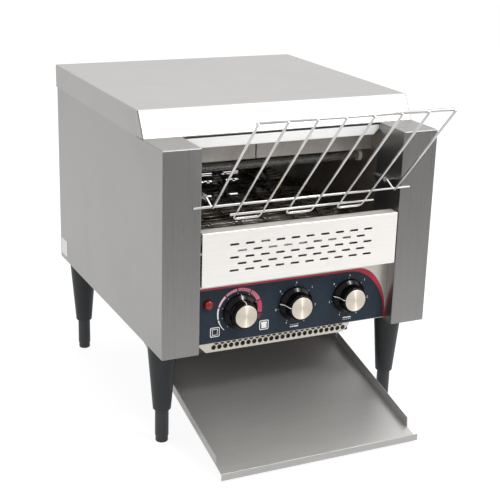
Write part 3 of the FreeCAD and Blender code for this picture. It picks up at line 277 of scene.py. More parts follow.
def sheetFinish(name, tone, rough, stretch, contrast=0.05, smears=0.35, heat=0.0, metallic=1.0):
    finish, tree, shader = newFinish(name, metallic=metallic)
    grain = useGroup(tree, brushGrain, Stretch=stretch, Contrast=contrast)
    smear = useGroup(tree, handling, Scale=7.0, Amount=smears)["Mask"]
    base = blendColour(tree, smear, tone, toned(tone, 0.86))
    if heat:
        base = useGroup(tree, heatTint, Colour=base, Amount=heat)["Colour"]
    shade = addNode(tree, "ShaderNodeCombineXYZ",
                    dict.fromkeys(range(3), grain["Shade"])).outputs[0]
    roughness = addMath(tree, "ADD", spread(tree, grain["Height"], 0.3, 0.7,
                                            rough - 0.04, rough + 0.04),
                        addMath(tree, "MULTIPLY", smear, 0.1))
    linkSurface(tree, shader, blendColour(tree, 1.0, base, shade, "MULTIPLY"), roughness,
                grain["Height"], 0.12, 0.00003)
    return finish


# where the painted shade lines lie, in metres on the frame's axes
paintedShadeLines = {"lintelJoint": (0.3872, 0.4), "sideFoldShadow": (0.1837, 0.1853),
              "slopeFootShadow": (0.38, 0.3907), "slopeDepth": (-0.12, -0.0744)}


def lineMask(tree, place, line):
    low, high = paintedShadeLines[line]
    return useGroup(tree, edgeBand, Place=place, Low=low, High=high)["Mask"]


def lintelJoint(tree, place):
    # painted shadow in the gap where the lintel meets the hood
    return lineMask(tree, place["Z"], "lintelJoint")


def hoodLines(tree, place):
    # painted shade along the hood's side folds and the foot of the front slope
    fold = lineMask(tree, addMath(tree, "ABSOLUTE", place["X"]), "sideFoldShadow")
    shadeLines = addMath(tree, "MAXIMUM", fold, lineMask(tree, place["Z"], "slopeFootShadow"))
    return addMath(tree, "MULTIPLY", shadeLines, lineMask(tree, place["Y"], "slopeDepth"))


def addLines(finish, measure, tone):
    # painted shade lines where sheets are folded or meet, darker where shade falls in the folds
    # and gaps
    tree = finish.node_tree
    base = tree.nodes["Principled BSDF"].inputs["Base Color"]
    shadeMask = measure(tree, split(tree, objectPlace(tree)))
    tree.links.new(blendColour(tree, shadeMask, base.links[0].from_socket, tone), base)


def barFinish(name, tone, rough, wearAndSheen=0.5, heat=0.0):
    finish, tree, shader = newFinish(name, metallic=1.0)
    grain = useGroup(tree, mouldGrain, Scale=900.0)
    edge = useGroup(tree, wornEdges, Strength=wearAndSheen)["Mask"]
    base = blendColour(tree, grain["Shade"], tone, toned(tone, 0.8))
    if heat:
        base = useGroup(tree, heatTint, Colour=base, Amount=heat)["Colour"]
    # edges lighter: wear and painted sheen
    linkSurface(tree, shader, blendColour(tree, edge, base, toned(tone, 1.35)),
                spread(tree, grain["Height"], 0.3, 0.7, rough - 0.05, rough + 0.06),
                grain["Height"], 0.15, 0.00004)
    return finish


def mouldedFinish(name, tone, rough, scale=1400.0, depth=0.3, wearAndSheen=0.25, **constants):
    finish, tree, shader = newFinish(name, **constants)
    grain = useGroup(tree, mouldGrain, Scale=scale)
    edge = useGroup(tree, wornEdges, Strength=wearAndSheen)["Mask"]
    smear = useGroup(tree, handling, Scale=18.0, Amount=0.5)["Mask"]
    base = blendColour(tree, grain["Shade"], tone, toned(tone, 0.82))
    # edges lighter: wear and painted sheen
    linkSurface(tree, shader, blendColour(tree, edge, base, toned(tone, 1.5, 0.02)),
                addMath(tree, "ADD", rough, addMath(tree, "MULTIPLY", smear, 0.14)),
                grain["Height"], depth, 0.00006)
    return finish


def inkFinish():
    finish, tree, shader = newFinish("printedInk")
    ink = addNode(tree, "ShaderNodeAttribute", attribute_name="ink").outputs["Color"]
    smear = useGroup(tree, handling, Scale=60.0, Amount=0.4)["Mask"]
    dull = blendColour(tree, 1.0, ink, (0.8, 0.8, 0.8, 1), "MULTIPLY")
    linkSurface(tree, shader, blendColour(tree, smear, ink, dull),
                addMath(tree, "ADD", 0.34, addMath(tree, "MULTIPLY", smear, 0.2)))
    return finish


def spunFinish():
    # rings turned into the cap's face, on its own UV map of turn and radius
    finish, tree, shader = newFinish("spunCap", metallic=1.0, Anisotropic=0.9,
                                     **{"Anisotropic Rotation": 0.25})
    away = split(tree, addNode(tree, "ShaderNodeUVMap", uv_map="spin").outputs["UV"])["Y"]
    rings = addNode(tree, "ShaderNodeTexNoise",
                    {"W": addMath(tree, "MULTIPLY", away, 70.0), "Detail": 3.0},
                    noise_dimensions="1D").outputs["Fac"]
    warm = blendColour(tree, spread(tree, rings, 0.3, 0.7), linear(252, 243, 230),
                       linear(226, 216, 203))
    linkSurface(tree, shader, warm, spread(tree, rings, 0.3, 0.7, 0.44, 0.54), rings, 0.2,
                0.00005)
    tangent = addNode(tree, "ShaderNodeTangent", direction_type="UV_MAP", uv_map="spin")
    tree.links.new(tangent.outputs[0], shader.inputs["Tangent"])
    return finish


def glassFinish(name, tone, rough, **constants):
    finish, tree, shader = newFinish(name, **constants)
    film = useGroup(tree, handling, Scale=30.0, Amount=0.8)["Mask"]
    linkSurface(tree, shader, blendColour(tree, film, tone, toned(tone, 0.75)),
                addMath(tree, "ADD", rough, addMath(tree, "MULTIPLY", film, 0.2)))
    return finish


alongX, alongY, alongZ = (12, 700, 700), (700, 12, 700), (700, 700, 12)
finishes = {
    "panel": sheetFinish("panelSteel", linear(164, 163, 162), 0.36, alongY),
    "pillar": sheetFinish("pillarSteel", linear(148, 147, 146), 0.30, alongZ, metallic=0.95),
    "hood": sheetFinish("hoodSteel", linear(175, 173, 171), 0.38, alongX),
    # front panel and lintel: light steel lifted to near white with less metal, so the colour
    # carries a bright reflection: partly real tone, partly painted reflection
    "front": sheetFinish("frontSteel", linear(253, 250, 246), 0.42, alongX, contrast=0.03,
                         smears=0.2, metallic=0.5),
    "lintel": sheetFinish("lintelSteel", linear(255, 255, 253), 0.42, alongX, contrast=0.01,
                          smears=0.15, metallic=0.25),
    "guard": sheetFinish("guardSteel", linear(216, 212, 204), 0.36, alongX),
    "tray": sheetFinish("traySteel", linear(178, 177, 175), 0.38, alongX, metallic=0.55),
    "aluminised": sheetFinish("aluminisedSteel", linear(172, 170, 167), 0.46, (160, 160, 160),
                              contrast=0.08, smears=0.6, heat=0.25),
    # dark steel for a sheet that stands in for the shade behind the guard's holes: painted shade,
    # with heat tint and smears
    "shadowDark": sheetFinish("darkenedSteel", linear(84, 74, 64), 0.5, (90, 90, 90),
                            contrast=0.12, smears=0.8, heat=0.8, metallic=0.6),
    "chamber": sheetFinish("chamberSteel", linear(168, 164, 158), 0.46, (90, 90, 90),
                           contrast=0.1, smears=0.8, heat=0.5, metallic=0.85),
    "chrome": barFinish("rackChrome", linear(216, 215, 214), 0.10, wearAndSheen=0.1),
    "beltWire": barFinish("beltWire", linear(142, 135, 127), 0.42, heat=0.6, wearAndSheen=0.3),
    "machined": barFinish("machinedSteel", linear(150, 148, 146), 0.34),
    "brass": barFinish("bushBrass", linear(196, 158, 92), 0.34),
    "zinc": barFinish("zincScrews", linear(190, 190, 188), 0.3),
    "quartz": glassFinish("quartzTube", linear(235, 232, 226), 0.12,
                          **{"Transmission Weight": 0.85, "IOR": 1.46}),
    "coil": barFinish("heaterWire", linear(120, 108, 100), 0.5, heat=0.5),
    "ceramic": mouldedFinish("ceramicEnds", linear(228, 222, 208), 0.55),
    "motorPaint": mouldedFinish("motorPaint", linear(70, 74, 78), 0.4, wearAndSheen=0.8),
    "overlay": mouldedFinish("overlayFilm", linear(37, 49, 62), 0.40, scale=2600.0, depth=0.12,
                             wearAndSheen=0.1, **{"Specular IOR Level": 0.2}),
    "knob": mouldedFinish("knobBlack", linear(8, 8, 9), 0.10, scale=900.0, depth=0.04,
                          wearAndSheen=0.1, **{"Specular IOR Level": 0.15}),
    "switchPlastic": mouldedFinish("switchPlastic", linear(58, 56, 54), 0.5),
    "lamp": mouldedFinish("lampLens", linear(138, 9, 8), 0.12, scale=500.0, depth=0.04,
                          wearAndSheen=0.0, **{"Coat Weight": 0.3}),
    "lampBezel": mouldedFinish("lampBezel", linear(112, 10, 14), 0.2, wearAndSheen=0.1),
    "leg": mouldedFinish("legPlastic", linear(40, 43, 45), 0.42, scale=1100.0, depth=0.35,
                         **{"Specular IOR Level": 0.35}),
    "foot": mouldedFinish("footPlastic", linear(38, 41, 44), 0.45, scale=1100.0),
    "nylon": mouldedFinish("glandNylon", linear(34, 34, 36), 0.4),
    "foil": sheetFinish("plateFoil", linear(214, 214, 212), 0.3, alongX, smears=0.2),
    "cap": spunFinish(),
    "ink": inkFinish(),
}
# painted shadow lines: near black above the lintel, grey on the hood's folds and slope foot
addLines(finishes["lintel"], lintelJoint, linear(26, 25, 24))
addLines(finishes["hood"], hoodLines, linear(88, 87, 86))
print("finishes made:", len(finishes))


# Mesh helpers, all in casing millimetres

def mergedCopy(name):
    mesh = bmesh.new()
    mesh.from_mesh(nodes[name].data)
    mesh.transform(toCasing)
    bmesh.ops.remove_doubles(mesh, verts=mesh.verts, dist=0.003)
    bmesh.ops.dissolve_limit(mesh, angle_limit=0.02, verts=mesh.verts, edges=mesh.edges)
    return mesh


def isRim(face, sheet):
    around = sum(edge.calc_length() for edge in face.edges)
    return 2 * face.calc_area() / around < 1.15 * sheet


def roundFolds(mesh, fold=1.4, rim=0.18, sheet=1.0, steps=4):
    # folds of the sheet get a wide bend, cut edges only a broken corner
    mesh.normal_update()
    bends, inner, cuts = [], [], []
    for edge in mesh.edges:
        if len(edge.link_faces) != 2:
            continue
        angle = edge.calc_face_angle_signed()
        if abs(angle) < math.radians(28):
            continue
        if any(isRim(face, sheet) for face in edge.link_faces):
            cuts.append(edge)
        else:
            (bends if angle > 0 else inner).append(edge)
    for edges, offset, segments in ((bends, fold, steps), (inner, max(fold - sheet, 0.3), steps),
                                    (cuts, rim, 1)):
        edges = [edge for edge in edges if edge.is_valid]
        if edges and offset:
            bmesh.ops.bevel(mesh, geom=edges, offset=offset, segments=segments, profile=0.5,
                            offset_type="OFFSET", affect="EDGES", clamp_overlap=False)


def addPiece(name, mesh, finish, creased=32, weighted=True):
    data = bpy.data.meshes.new(name)
    mesh.transform(toFrame)
    for face in mesh.faces:
        face.smooth = True
    mesh.to_mesh(data)
    mesh.free()
    data.materials.append(finishes[finish])
    data.set_sharp_from_angle(angle=math.radians(creased))
    piece = linked(name, data)
    if weighted:
        modifier = piece.modifiers.new("faceShading", "WEIGHTED_NORMAL")
        modifier.keep_sharp = True
        applyModifiers(piece)
    return piece


def applyModifiers(piece):
    graph = bpy.context.evaluated_depsgraph_get()
    data = bpy.data.meshes.new_from_object(piece.evaluated_get(graph))
    old = piece.data
    piece.modifiers.clear()
    piece.data = data
    bpy.data.meshes.remove(old)
    data.name = piece.name


def smooth(piece):
    for polygon in piece.data.polygons:
        polygon.use_smooth = True


def settle(piece, body, slot, *replaced):
    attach(piece, body)
    if replaced:
        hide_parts(*replaced)


def addPrism(mesh, outline, direction):
    # closed prism on an outline of points, pushed along direction
    base = [mesh.verts.new(point) for point in outline]
    far = [mesh.verts.new(Vector(point) + Vector(direction)) for point in outline]
    faces = [mesh.faces.new(base), mesh.faces.new(list(reversed(far)))]
    count = len(base)
    for index in range(count):
        after = (index + 1) % count
        faces.append(mesh.faces.new((base[after], base[index], far[index], far[after])))
    bmesh.ops.recalc_face_normals(mesh, faces=faces)
    return faces


def addTurned(mesh, profile, centre, axis="Y", steps=64):
    # profile is (place along the axis, radius) from one end to the other
    rings = []
    for along, radius in profile:
        count = steps if radius > 1e-6 else 1
        rings.append([mesh.verts.new(turnedPoint(centre, axis, along, radius,
                                                 2 * math.pi * step / steps))
                      for step in range(count)])
    faces = []
    for first, second in zip(rings, rings[1:]):
        for step in range(steps):
            after = (step + 1) % steps
            corners = [first[step % len(first)], first[after % len(first)],
                       second[after % len(second)], second[step % len(second)]]
            corners = list(dict.fromkeys(corners))
            if len(corners) > 2:
                faces.append(mesh.faces.new(corners))
    bmesh.ops.recalc_face_normals(mesh, faces=faces)
    return faces


def turnedPiece(name, profile, centre, finish, steps, creased=40, axis="Y", weighted=True):
    mesh = bmesh.new()
    addTurned(mesh, profile, centre, axis, steps)
    return addPiece(name, mesh, finish, creased, weighted)


def turnedPoint(centre, axis, along, radius, turn):
    side, up = radius * math.cos(turn), radius * math.sin(turn)
    if axis == "Y":
        return Vector((centre[0] + side, along, centre[1] + up))
    if axis == "Z":
        return Vector((centre[0] + side, centre[1] + up, along))
    return Vector((along, centre[0] + side, centre[1] + up))


def bent(points, radius, steps=5):
    # polyline with its corners rounded
    points = [Vector(point) for point in points]
    path = [points[0]]
    for before, corner, after in zip(points, points[1:], points[2:]):
        toBefore, toAfter = (before - corner).normalized(), (after - corner).normalized()
        angle = toBefore.angle(toAfter)
        reach = min(radius / math.tan(angle / 2), 0.45 * (before - corner).length,
                    0.45 * (after - corner).length)
        start, end = corner + toBefore * reach, corner + toAfter * reach
        for step in range(steps + 1):
            share = step / steps
            path.append(start * (1 - share) ** 2 + corner * 2 * share * (1 - share)
                        + end * share ** 2)
    path.append(points[-1])
    return path


def addWire(mesh, path, radius, sides=14):
    # round wire along a path, its ends slightly domed
    count = len(path)
    tangents = [(path[min(index + 1, count - 1)] - path[max(index - 1, 0)]).normalized()
                for index in range(count)]
    normal = tangents[0].orthogonal().normalized()
    rings = []
    for index, (point, tangent) in enumerate(zip(path, tangents)):
        normal = (normal - tangent * normal.dot(tangent)).normalized()
        across = tangent.cross(normal)
        sizes = [(0.0, 1.0)]
        if index == 0:
            sizes = [(0.0, 0.55), (0.12, 0.86), (0.35, 1.0)]
        elif index == count - 1:
            sizes = [(-0.35, 1.0), (-0.12, 0.86), (0.0, 0.55)]
        for shift, size in sizes:
            ring = [mesh.verts.new(point + tangent * shift * radius
                                   + (normal * math.cos(turn) + across * math.sin(turn))
                                   * radius * size)
                    for turn in (2 * math.pi * side / sides for side in range(sides))]
            rings.append(ring)
    faces = []
    for first, second in zip(rings, rings[1:]):
        for side in range(sides):
            after = (side + 1) % sides
            faces.append(mesh.faces.new((first[side], first[after], second[after], second[side])))
    faces.append(mesh.faces.new(list(reversed(rings[0]))))
    faces.append(mesh.faces.new(rings[-1]))
    bmesh.ops.recalc_face_normals(mesh, faces=faces)


def addEllipsoid(mesh, centre, radii, steps=12):
    made = bmesh.ops.create_uvsphere(mesh, u_segments=steps, v_segments=steps // 2, radius=1.0)
    size = Matrix.Diagonal(Vector(radii).to_4d())
    bmesh.ops.transform(mesh, matrix=Matrix.Translation(Vector(centre)) @ size,
                        verts=made["verts"])


# Geometry Nodes helpers

def newShapeTree(name, inputs):
    tree = bpy.data.node_groups.new(name, "GeometryNodeTree")
    tree.is_modifier = True
    tree.interface.new_socket("Geometry", in_out="INPUT", socket_type="NodeSocketGeometry")
    for label, kind in inputs:
        tree.interface.new_socket(label, in_out="INPUT", socket_type=kind)
    tree.interface.new_socket("Geometry", in_out="OUTPUT", socket_type="NodeSocketGeometry")
    return tree, tree.nodes.new("NodeGroupInput"), tree.nodes.new("NodeGroupOutput")


def finishTree(tree, given, result, geometry):
    real = addNode(tree, "GeometryNodeRealizeInstances", {0: geometry}).outputs[0]
    painted = addNode(tree, "GeometryNodeSetMaterial", {"Geometry": real,
                                                        "Material": given.outputs["Finish"]})
    tree.links.new(painted.outputs[0], result.inputs[0])
    return tree


def joined(tree, *parts):
    join = addNode(tree, "GeometryNodeJoinGeometry")
    for part in parts:
        tree.links.new(part, join.inputs[0])
    return join.outputs[0]


def sweep(tree, curve, sides, radius):
    section = addNode(tree, "GeometryNodeCurvePrimitiveCircle",
                      {"Resolution": sides, "Radius": radius}).outputs[0]
    return addNode(tree, "GeometryNodeCurveToMesh",
                   {"Curve": curve, "Profile Curve": section, "Fill Caps": True}).outputs[0]


def copiesOn(tree, points, instance, **more):
    return addNode(tree, "GeometryNodeInstanceOnPoints",
                   {"Points": points, "Instance": instance, **more}).outputs[0]


def templateOf(tree, given):
    item = given.outputs["Template"]
    return addNode(tree, "GeometryNodeObjectInfo", {"Object": item}).outputs["Geometry"]


def runTree(piece, tree, **values):
    modifier = piece.modifiers.new("repeats", "NODES")
    modifier.node_group = tree
    for item in tree.interface.items_tree:
        if item.item_type == "SOCKET" and item.in_out == "INPUT" and item.name in values:
            modifier[item.identifier] = values[item.name]
    applyModifiers(piece)
    return piece


def makeHoleGrid():
    # cuts a grid of round-ended holes through a plate that faces the front
    tree, given, result = newShapeTree("holeGrid", [
        ("Finish", finishKind), ("Columns", whole), ("Rows", whole),
        ("Column Pitch", number), ("Row Pitch", number), ("Stagger", number),
        ("Hole Width", number), ("Hole Height", number), ("Corner", number),
        ("Corner Steps", whole), ("Top Row", vector), ("Depth", number)])
    g = given.outputs
    outline = addNode(tree, "GeometryNodeCurvePrimitiveQuadrilateral",
                      {"Width": g["Hole Width"], "Height": g["Hole Height"]}).outputs[0]
    soft = addNode(tree, "GeometryNodeFilletCurve",
                   {"Curve": outline, "Count": g["Corner Steps"], "Radius": g["Corner"],
                    "Limit Radius": True}, mode="POLY").outputs[0]
    flat = addNode(tree, "GeometryNodeFillCurve", {0: soft}, mode="NGONS").outputs[0]
    deep = addNode(tree, "ShaderNodeCombineXYZ", {2: g["Depth"]}).outputs[0]
    pushed = addNode(tree, "GeometryNodeExtrudeMesh",
                     {"Mesh": flat, "Offset": deep, "Offset Scale": 1.0,
                      "Individual": False}).outputs["Mesh"]
    floor = addNode(tree, "GeometryNodeFlipFaces", {0: flat}).outputs[0]
    punch = addNode(tree, "GeometryNodeMergeByDistance",
                    {"Geometry": joined(tree, pushed, floor), "Distance": 1e-6}).outputs[0]
    index = addNode(tree, "GeometryNodeInputIndex").outputs[0]
    row = addMath(tree, "MODULO", index, g["Rows"])
    column = addMath(tree, "FLOOR", addMath(tree, "DIVIDE", addMath(tree, "ADD", index, 0.5),
                                            g["Rows"]))
    odd = addMath(tree, "MULTIPLY", addMath(tree, "MODULO", row, 2.0), g["Stagger"])
    last = addMath(tree, "SUBTRACT", g["Columns"], 1.0)
    middle = addMath(tree, "MULTIPLY", last, 0.5)
    across = addMath(tree, "SUBTRACT", addMath(tree, "ADD", column,
                                               addMath(tree, "MULTIPLY", odd, 0.5)), middle)
    x = addMath(tree, "MULTIPLY", across, g["Column Pitch"])
    down = addMath(tree, "MULTIPLY", addMath(tree, "MULTIPLY", row, g["Row Pitch"]), -1.0)
    place = addNode(tree, "ShaderNodeCombineXYZ", {0: x, 1: down}).outputs[0]
    count = addMath(tree, "MULTIPLY", g["Columns"], g["Rows"])
    dots = addNode(tree, "GeometryNodePoints", {"Count": count, "Position": place}).outputs[0]
    beyond = addMath(tree, "GREATER_THAN", addMath(tree, "ADD", column, odd),
                     addMath(tree, "ADD", last, 0.5))
    kept = addMath(tree, "SUBTRACT", 1.0, beyond)
    copies = copiesOn(tree, dots, punch, Selection=kept)
    upright = addNode(tree, "GeometryNodeTransform",
                      {"Geometry": copies, "Translation": g["Top Row"],
                       "Rotation": (math.pi / 2, 0, 0)}).outputs[0]
    tools = addNode(tree, "GeometryNodeRealizeInstances", {0: upright}).outputs[0]
    plate = addNode(tree, "GeometryNodeMeshBoolean", operation="DIFFERENCE")
    tree.links.new(g["Geometry"], plate.inputs["Mesh 1"])
    tree.links.new(tools, plate.inputs["Mesh 2"])
    return finishTree(tree, given, result, plate.outputs[0])


def makeAtPlaces():
    # copies a template onto the vertices of the object
    tree, given, result = newShapeTree("copiesAtPlaces", [
        ("Finish", finishKind), ("Template", itemKind)])
    copies = copiesOn(tree, given.outputs["Geometry"], templateOf(tree, given))
    return finishTree(tree, given, result, copies)


def makeRoundAxis():
    # half-round ribs that stand round an axis along Y
    tree, given, result = newShapeTree("ribsRoundAxis", [
        ("Finish", finishKind), ("Ribs", whole), ("Rear Radius", number),
        ("Front Radius", number), ("Length", number), ("Rib Radius", number),
        ("Centre", vector)])
    g = given.outputs
    rear = addNode(tree, "ShaderNodeCombineXYZ", {2: g["Rear Radius"]}).outputs[0]
    ahead = addMath(tree, "MULTIPLY", g["Length"], -1.0)
    front = addNode(tree, "ShaderNodeCombineXYZ", {1: ahead, 2: g["Front Radius"]}).outputs[0]
    line = addNode(tree, "GeometryNodeCurvePrimitiveLine",
                   {"Start": rear, "End": front}).outputs[0]
    rib = sweep(tree, line, 8, g["Rib Radius"])
    dots = addNode(tree, "GeometryNodePoints", {"Count": g["Ribs"]}).outputs[0]
    index = addNode(tree, "GeometryNodeInputIndex").outputs[0]
    turn = addMath(tree, "MULTIPLY", addMath(tree, "DIVIDE", index, g["Ribs"]), 2 * math.pi)
    rotation = addNode(tree, "ShaderNodeCombineXYZ", {1: turn}).outputs[0]
    placed = addNode(tree, "GeometryNodeTransform",
                     {"Geometry": copiesOn(tree, dots, rib, Rotation=rotation),
                      "Translation": g["Centre"]}).outputs[0]
    return finishTree(tree, given, result, joined(tree, placed, g["Geometry"]))


holeGrid, copiesAtPlaces, ribsRoundAxis = makeHoleGrid(), makeAtPlaces(), makeRoundAxis()


# Casing sheets

sheets = [
    # piece, node, finish, slot, bend radius
    ("hood_sheet", "hood", "hood", "stainless_hood", 1.6),
    ("side_sheet_left", "side_panel_left", "panel", "stainless_panel", 1.4),
    ("side_sheet_right", "side_panel_right", "panel", "stainless_panel", 1.4),
    ("pillar_sheet_left", "front_pillar_left", "pillar", "stainless_panel", 1.5),
    ("pillar_sheet_right", "front_pillar_right", "pillar", "stainless_panel", 1.5),
    ("control_sheet", "control_panel", "guard", "stainless_front", 1.2),
    ("lintel_sheet", "lintel", "lintel", "stainless_front", 1.2),
    ("base_sheet", "base_plate", "aluminised", "aluminised_sheet", 1.2),
    ("chamber_sheet_left", "inner_wall_left", "chamber", "aluminised_sheet", 1.2),
    ("chamber_sheet_right", "inner_wall_right", "chamber", "aluminised_sheet", 1.2),
    ("reflector_sheet_top", "upper_reflector", "aluminised", "aluminised_sheet", 1.2),
    ("reflector_sheet_low", "lower_reflector", "aluminised", "aluminised_sheet", 1.2),
    ("slide_sheet", "toast_slide", "aluminised", "aluminised_sheet", 1.4),
    ("runner_channels", "tray_runners", "aluminised", "aluminised_sheet", 1.2),
]


def makeSheets():
    for name, node, finish, slot, bend in sheets:
        mesh = mergedCopy(node)
        roundFolds(mesh, fold=bend)
        settle(addPiece(name, mesh, finish), "casing", slot, node)


makeSheets()
print("casing sheets folded:", len(sheets))


# Sheets with rows of holes

def addHoles(name, mesh, finish, grid):
    piece = addPiece(name, mesh, finish, weighted=False)
    values = {key: (value * 0.001 if isinstance(value, float) else value)
              for key, value in grid.items()}
    values["Top Row"] = tuple(atPoint(*grid["Top Row"]))
    runTree(piece, holeGrid, Finish=finishes[finish], **values)
    cut = bmesh.new()
    cut.from_mesh(piece.data)
    cut.transform(toCasing)
    bmesh.ops.remove_doubles(cut, verts=cut.verts, dist=0.002)
    bmesh.ops.dissolve_limit(cut, angle_limit=0.02, verts=cut.verts, edges=cut.edges)
    roundFolds(cut, fold=1.3, rim=0.15)
    bpy.data.objects.remove(piece)
    return addPiece(name, cut, finish)


slotted = {"foot": 85.0, "top": 152.6, "reach": 133.5, "face": 17.2, "flange": 17.0,
           "return": 9.0,
           "grid": {"Columns": 10, "Rows": 5, "Column Pitch": 20.4, "Row Pitch": 8.2,
                    "Stagger": 1, "Hole Width": 12.0, "Hole Height": 2.7, "Corner": 1.349,
                    "Corner Steps": 5, "Top Row": (0, 3, 135.4), "Depth": 5.0}}
guard = {"across": -2.5, "setback": 57.0, "drop": 26.3, "reach": 109.0, "chamfer": 9.5,
         "flange": 14.0, "shadowBacking": 5.0,
         "grid": {"Columns": 24, "Rows": 3, "Column Pitch": 8.1913, "Row Pitch": 6.2,
                  "Stagger": 1, "Hole Width": 6.4, "Hole Height": 6.4, "Corner": 3.199,
                  "Corner Steps": 4, "Top Row": (2.7, 60, -7.6), "Depth": 5.0}}
backSheet = {"reach": 183.0, "foot": 1.0, "top": 285.6, "setback": 416.5,
             "grid": {"Columns": 5, "Rows": 6, "Column Pitch": 45.0, "Row Pitch": 12.0,
                      "Stagger": 0, "Hole Width": 30.0, "Hole Height": 4.0, "Corner": 1.999,
                      "Corner Steps": 5, "Top Row": (0, 420, 105.0), "Depth": 6.0}}


def makeStrip(profile, reach, across=0):
    # sheet folded to a section, from side to side
    mesh = bmesh.new()
    addPrism(mesh, [(across - reach, y, z) for y, z in profile], (2 * reach, 0, 0))
    return mesh


def makeSlottedFront():
    t = casing["sheet"]
    foot, top, face = slotted["foot"], slotted["top"], slotted["face"]
    flange, back = slotted["flange"], slotted["return"]
    profile = [(0, foot), (face, foot), (face, foot + t), (t, foot + t), (t, top - t),
               (flange, top - t), (flange, top - back), (flange + t, top - back),
               (flange + t, top), (0, top)]
    piece = addHoles("slotted_sheet", makeStrip(profile, slotted["reach"]), "front",
                     slotted["grid"])
    settle(piece, "casing", "stainless_front", "slotted_front_panel")


def makeGuard():
    t = casing["sheet"]
    near, low, reach = guard["setback"], -guard["drop"], guard["reach"]
    rear, across = near + guard["flange"], guard["across"]
    profile = [(near, low), (near + t, low), (near + t, -t), (rear, -t), (rear, 0), (near, 0)]
    # a dark sheet close behind the holes, painted shade seen through them
    behind = near + guard["shadowBacking"]
    shadowBacking = [(behind - t, low), (behind, low), (behind, -t), (behind - t, -t)]
    mesh = makeStrip(profile, reach, across)
    for side in leftAndRight.values():
        corner = Vector((across + side * (reach - guard["chamfer"]), near, low))
        cut = bmesh.ops.bisect_plane(mesh, geom=mesh.verts[:] + mesh.edges[:] + mesh.faces[:],
                                     plane_co=corner, plane_no=Vector((side, 0, -1)),
                                     clear_outer=True, dist=0.001)
        rim = [item for item in cut["geom_cut"] if isinstance(item, bmesh.types.BMEdge)]
        bmesh.ops.holes_fill(mesh, edges=rim)
    bmesh.ops.recalc_face_normals(mesh, faces=mesh.faces)
    piece = addHoles("guard_sheet", mesh, "guard", guard["grid"])
    settle(piece, "casing", "stainless_front", "perforated_guard")
    mesh = makeStrip(shadowBacking, reach, across)
    roundFolds(mesh, fold=0.2, rim=0.15)
    settle(addPiece("guard_backing", mesh, "shadowDark"), "casing", "aluminised_sheet")


def makeBackSheet():
    reach, near = backSheet["reach"], backSheet["setback"]
    foot, top = backSheet["foot"], backSheet["top"]
    mesh = bmesh.new()
    addPrism(mesh, [(-reach, near, foot), (reach, near, foot), (reach, near, top),
                    (-reach, near, top)], (0, casing["sheet"], 0))
    piece = addHoles("back_sheet", mesh, "panel", backSheet["grid"])
    settle(piece, "casing", "stainless_panel", "back_panel")


makeSlottedFront()
makeGuard()
makeBackSheet()
print("perforated sheets cut")


# Toast tray

def makeTray():
    mesh = mergedCopy("toast_tray")
    roundFolds(mesh, fold=1.1, rim=0.2)
    settle(addPiece("tray_sheet", mesh, "tray"), "toast_tray", "stainless_tray", "toast_tray")


makeTray()
print("tray folded")


# Knobs and what they turn

knobs = {"places": {"speed": -75.2, "top_element": 1.3, "bottom_element": 77.8}, "height": 42.0,
         "pointers": {"speed": 0.0, "top_element": 277.0, "bottom_element": 277.0},
         "steps": 96, "capRadius": 14.4, "line": {"half": 0.5, "proud": 0.07, "sunk": 0.3},
         "ribs": {"count": 36, "radius": 0.42, "front": 16.28, "rear": 17.05, "start": 8.0,
                  "length": 9.4},
         "skirt": [(16.2, 0), (16.2, 21.9), (15.8, 22.6), (14.6, 22.8), (13.4, 22.7),
                   (12.75, 22.35), (12.3, 21.8), (11.2, 20.4), (10.1, 19.0), (9.5, 18.2),
                   (9.0, 17.6), (8.4, 17.3), (4.0, 17.0), (-0.8, 16.6), (-1.6, 16.35),
                   (-2.2, 15.6), (-2.3, 14.9), (-2.3, 14.5), (-2.1, 14.3), (-2.1, 0)],
         "cap": [(-2.2, 0), (-2.2, 14.1), (-3.0, 14.35), (-3.35, 14.1), (-3.5, 13.5),
                 (-3.45, 12.5), (-3.42, 0)],
         "pointer": [(14.2, 22.80), (13.4, 22.70), (12.75, 22.35), (12.3, 21.8), (11.2, 20.4),
                     (10.1, 19.0), (9.5, 18.2), (9.0, 17.7), (8.4, 17.6), (4.0, 17.3),
                     (-0.8, 16.9), (-1.6, 16.65), (-2.25, 15.8), (-2.38, 14.9)]}


def makeKnob(name):
    across, height = knobs["places"][name], knobs["height"]
    ribs = knobs["ribs"]
    piece = turnedPiece(name + "_knob_grip", knobs["skirt"], (across, height), "knob",
                        knobs["steps"], creased=50, weighted=False)
    runTree(piece, ribsRoundAxis, Finish=finishes["knob"], Ribs=ribs["count"],
            Centre=tuple(atPoint(across, ribs["start"], height)), Length=ribs["length"] * 0.001,
            **{"Rear Radius": ribs["rear"] * 0.001, "Front Radius": ribs["front"] * 0.001,
               "Rib Radius": ribs["radius"] * 0.001})
    settle(piece, name + "_knob", "knob_black", name + "_knob")
    cap = bmesh.new()
    addTurned(cap, knobs["cap"], (across, height), steps=knobs["steps"])
    # turn and radius as the cap's own map, for the spun rings
    spin = cap.loops.layers.uv.new("spin")
    for face in cap.faces:
        middle = face.calc_center_median()
        about = math.atan2(middle.z - height, middle.x - across)
        for loop in face.loops:
            x, z = loop.vert.co.x - across, loop.vert.co.z - height
            away = math.hypot(x, z)
            turn = math.atan2(z, x) if away > 1e-4 else about
            turn += 2 * math.pi * round((about - turn) / (2 * math.pi))
            loop[spin].uv = (turn / (2 * math.pi), away / knobs["capRadius"])
    piece = addPiece(name + "_cap_disc", cap, "cap", creased=40, weighted=False)
    settle(piece, name + "_knob", "knob_cap", name + "_knob_cap")


inks = {"red": linear(180, 14, 50), "white": linear(246, 246, 244),
        "pointer": linear(240, 240, 238)}


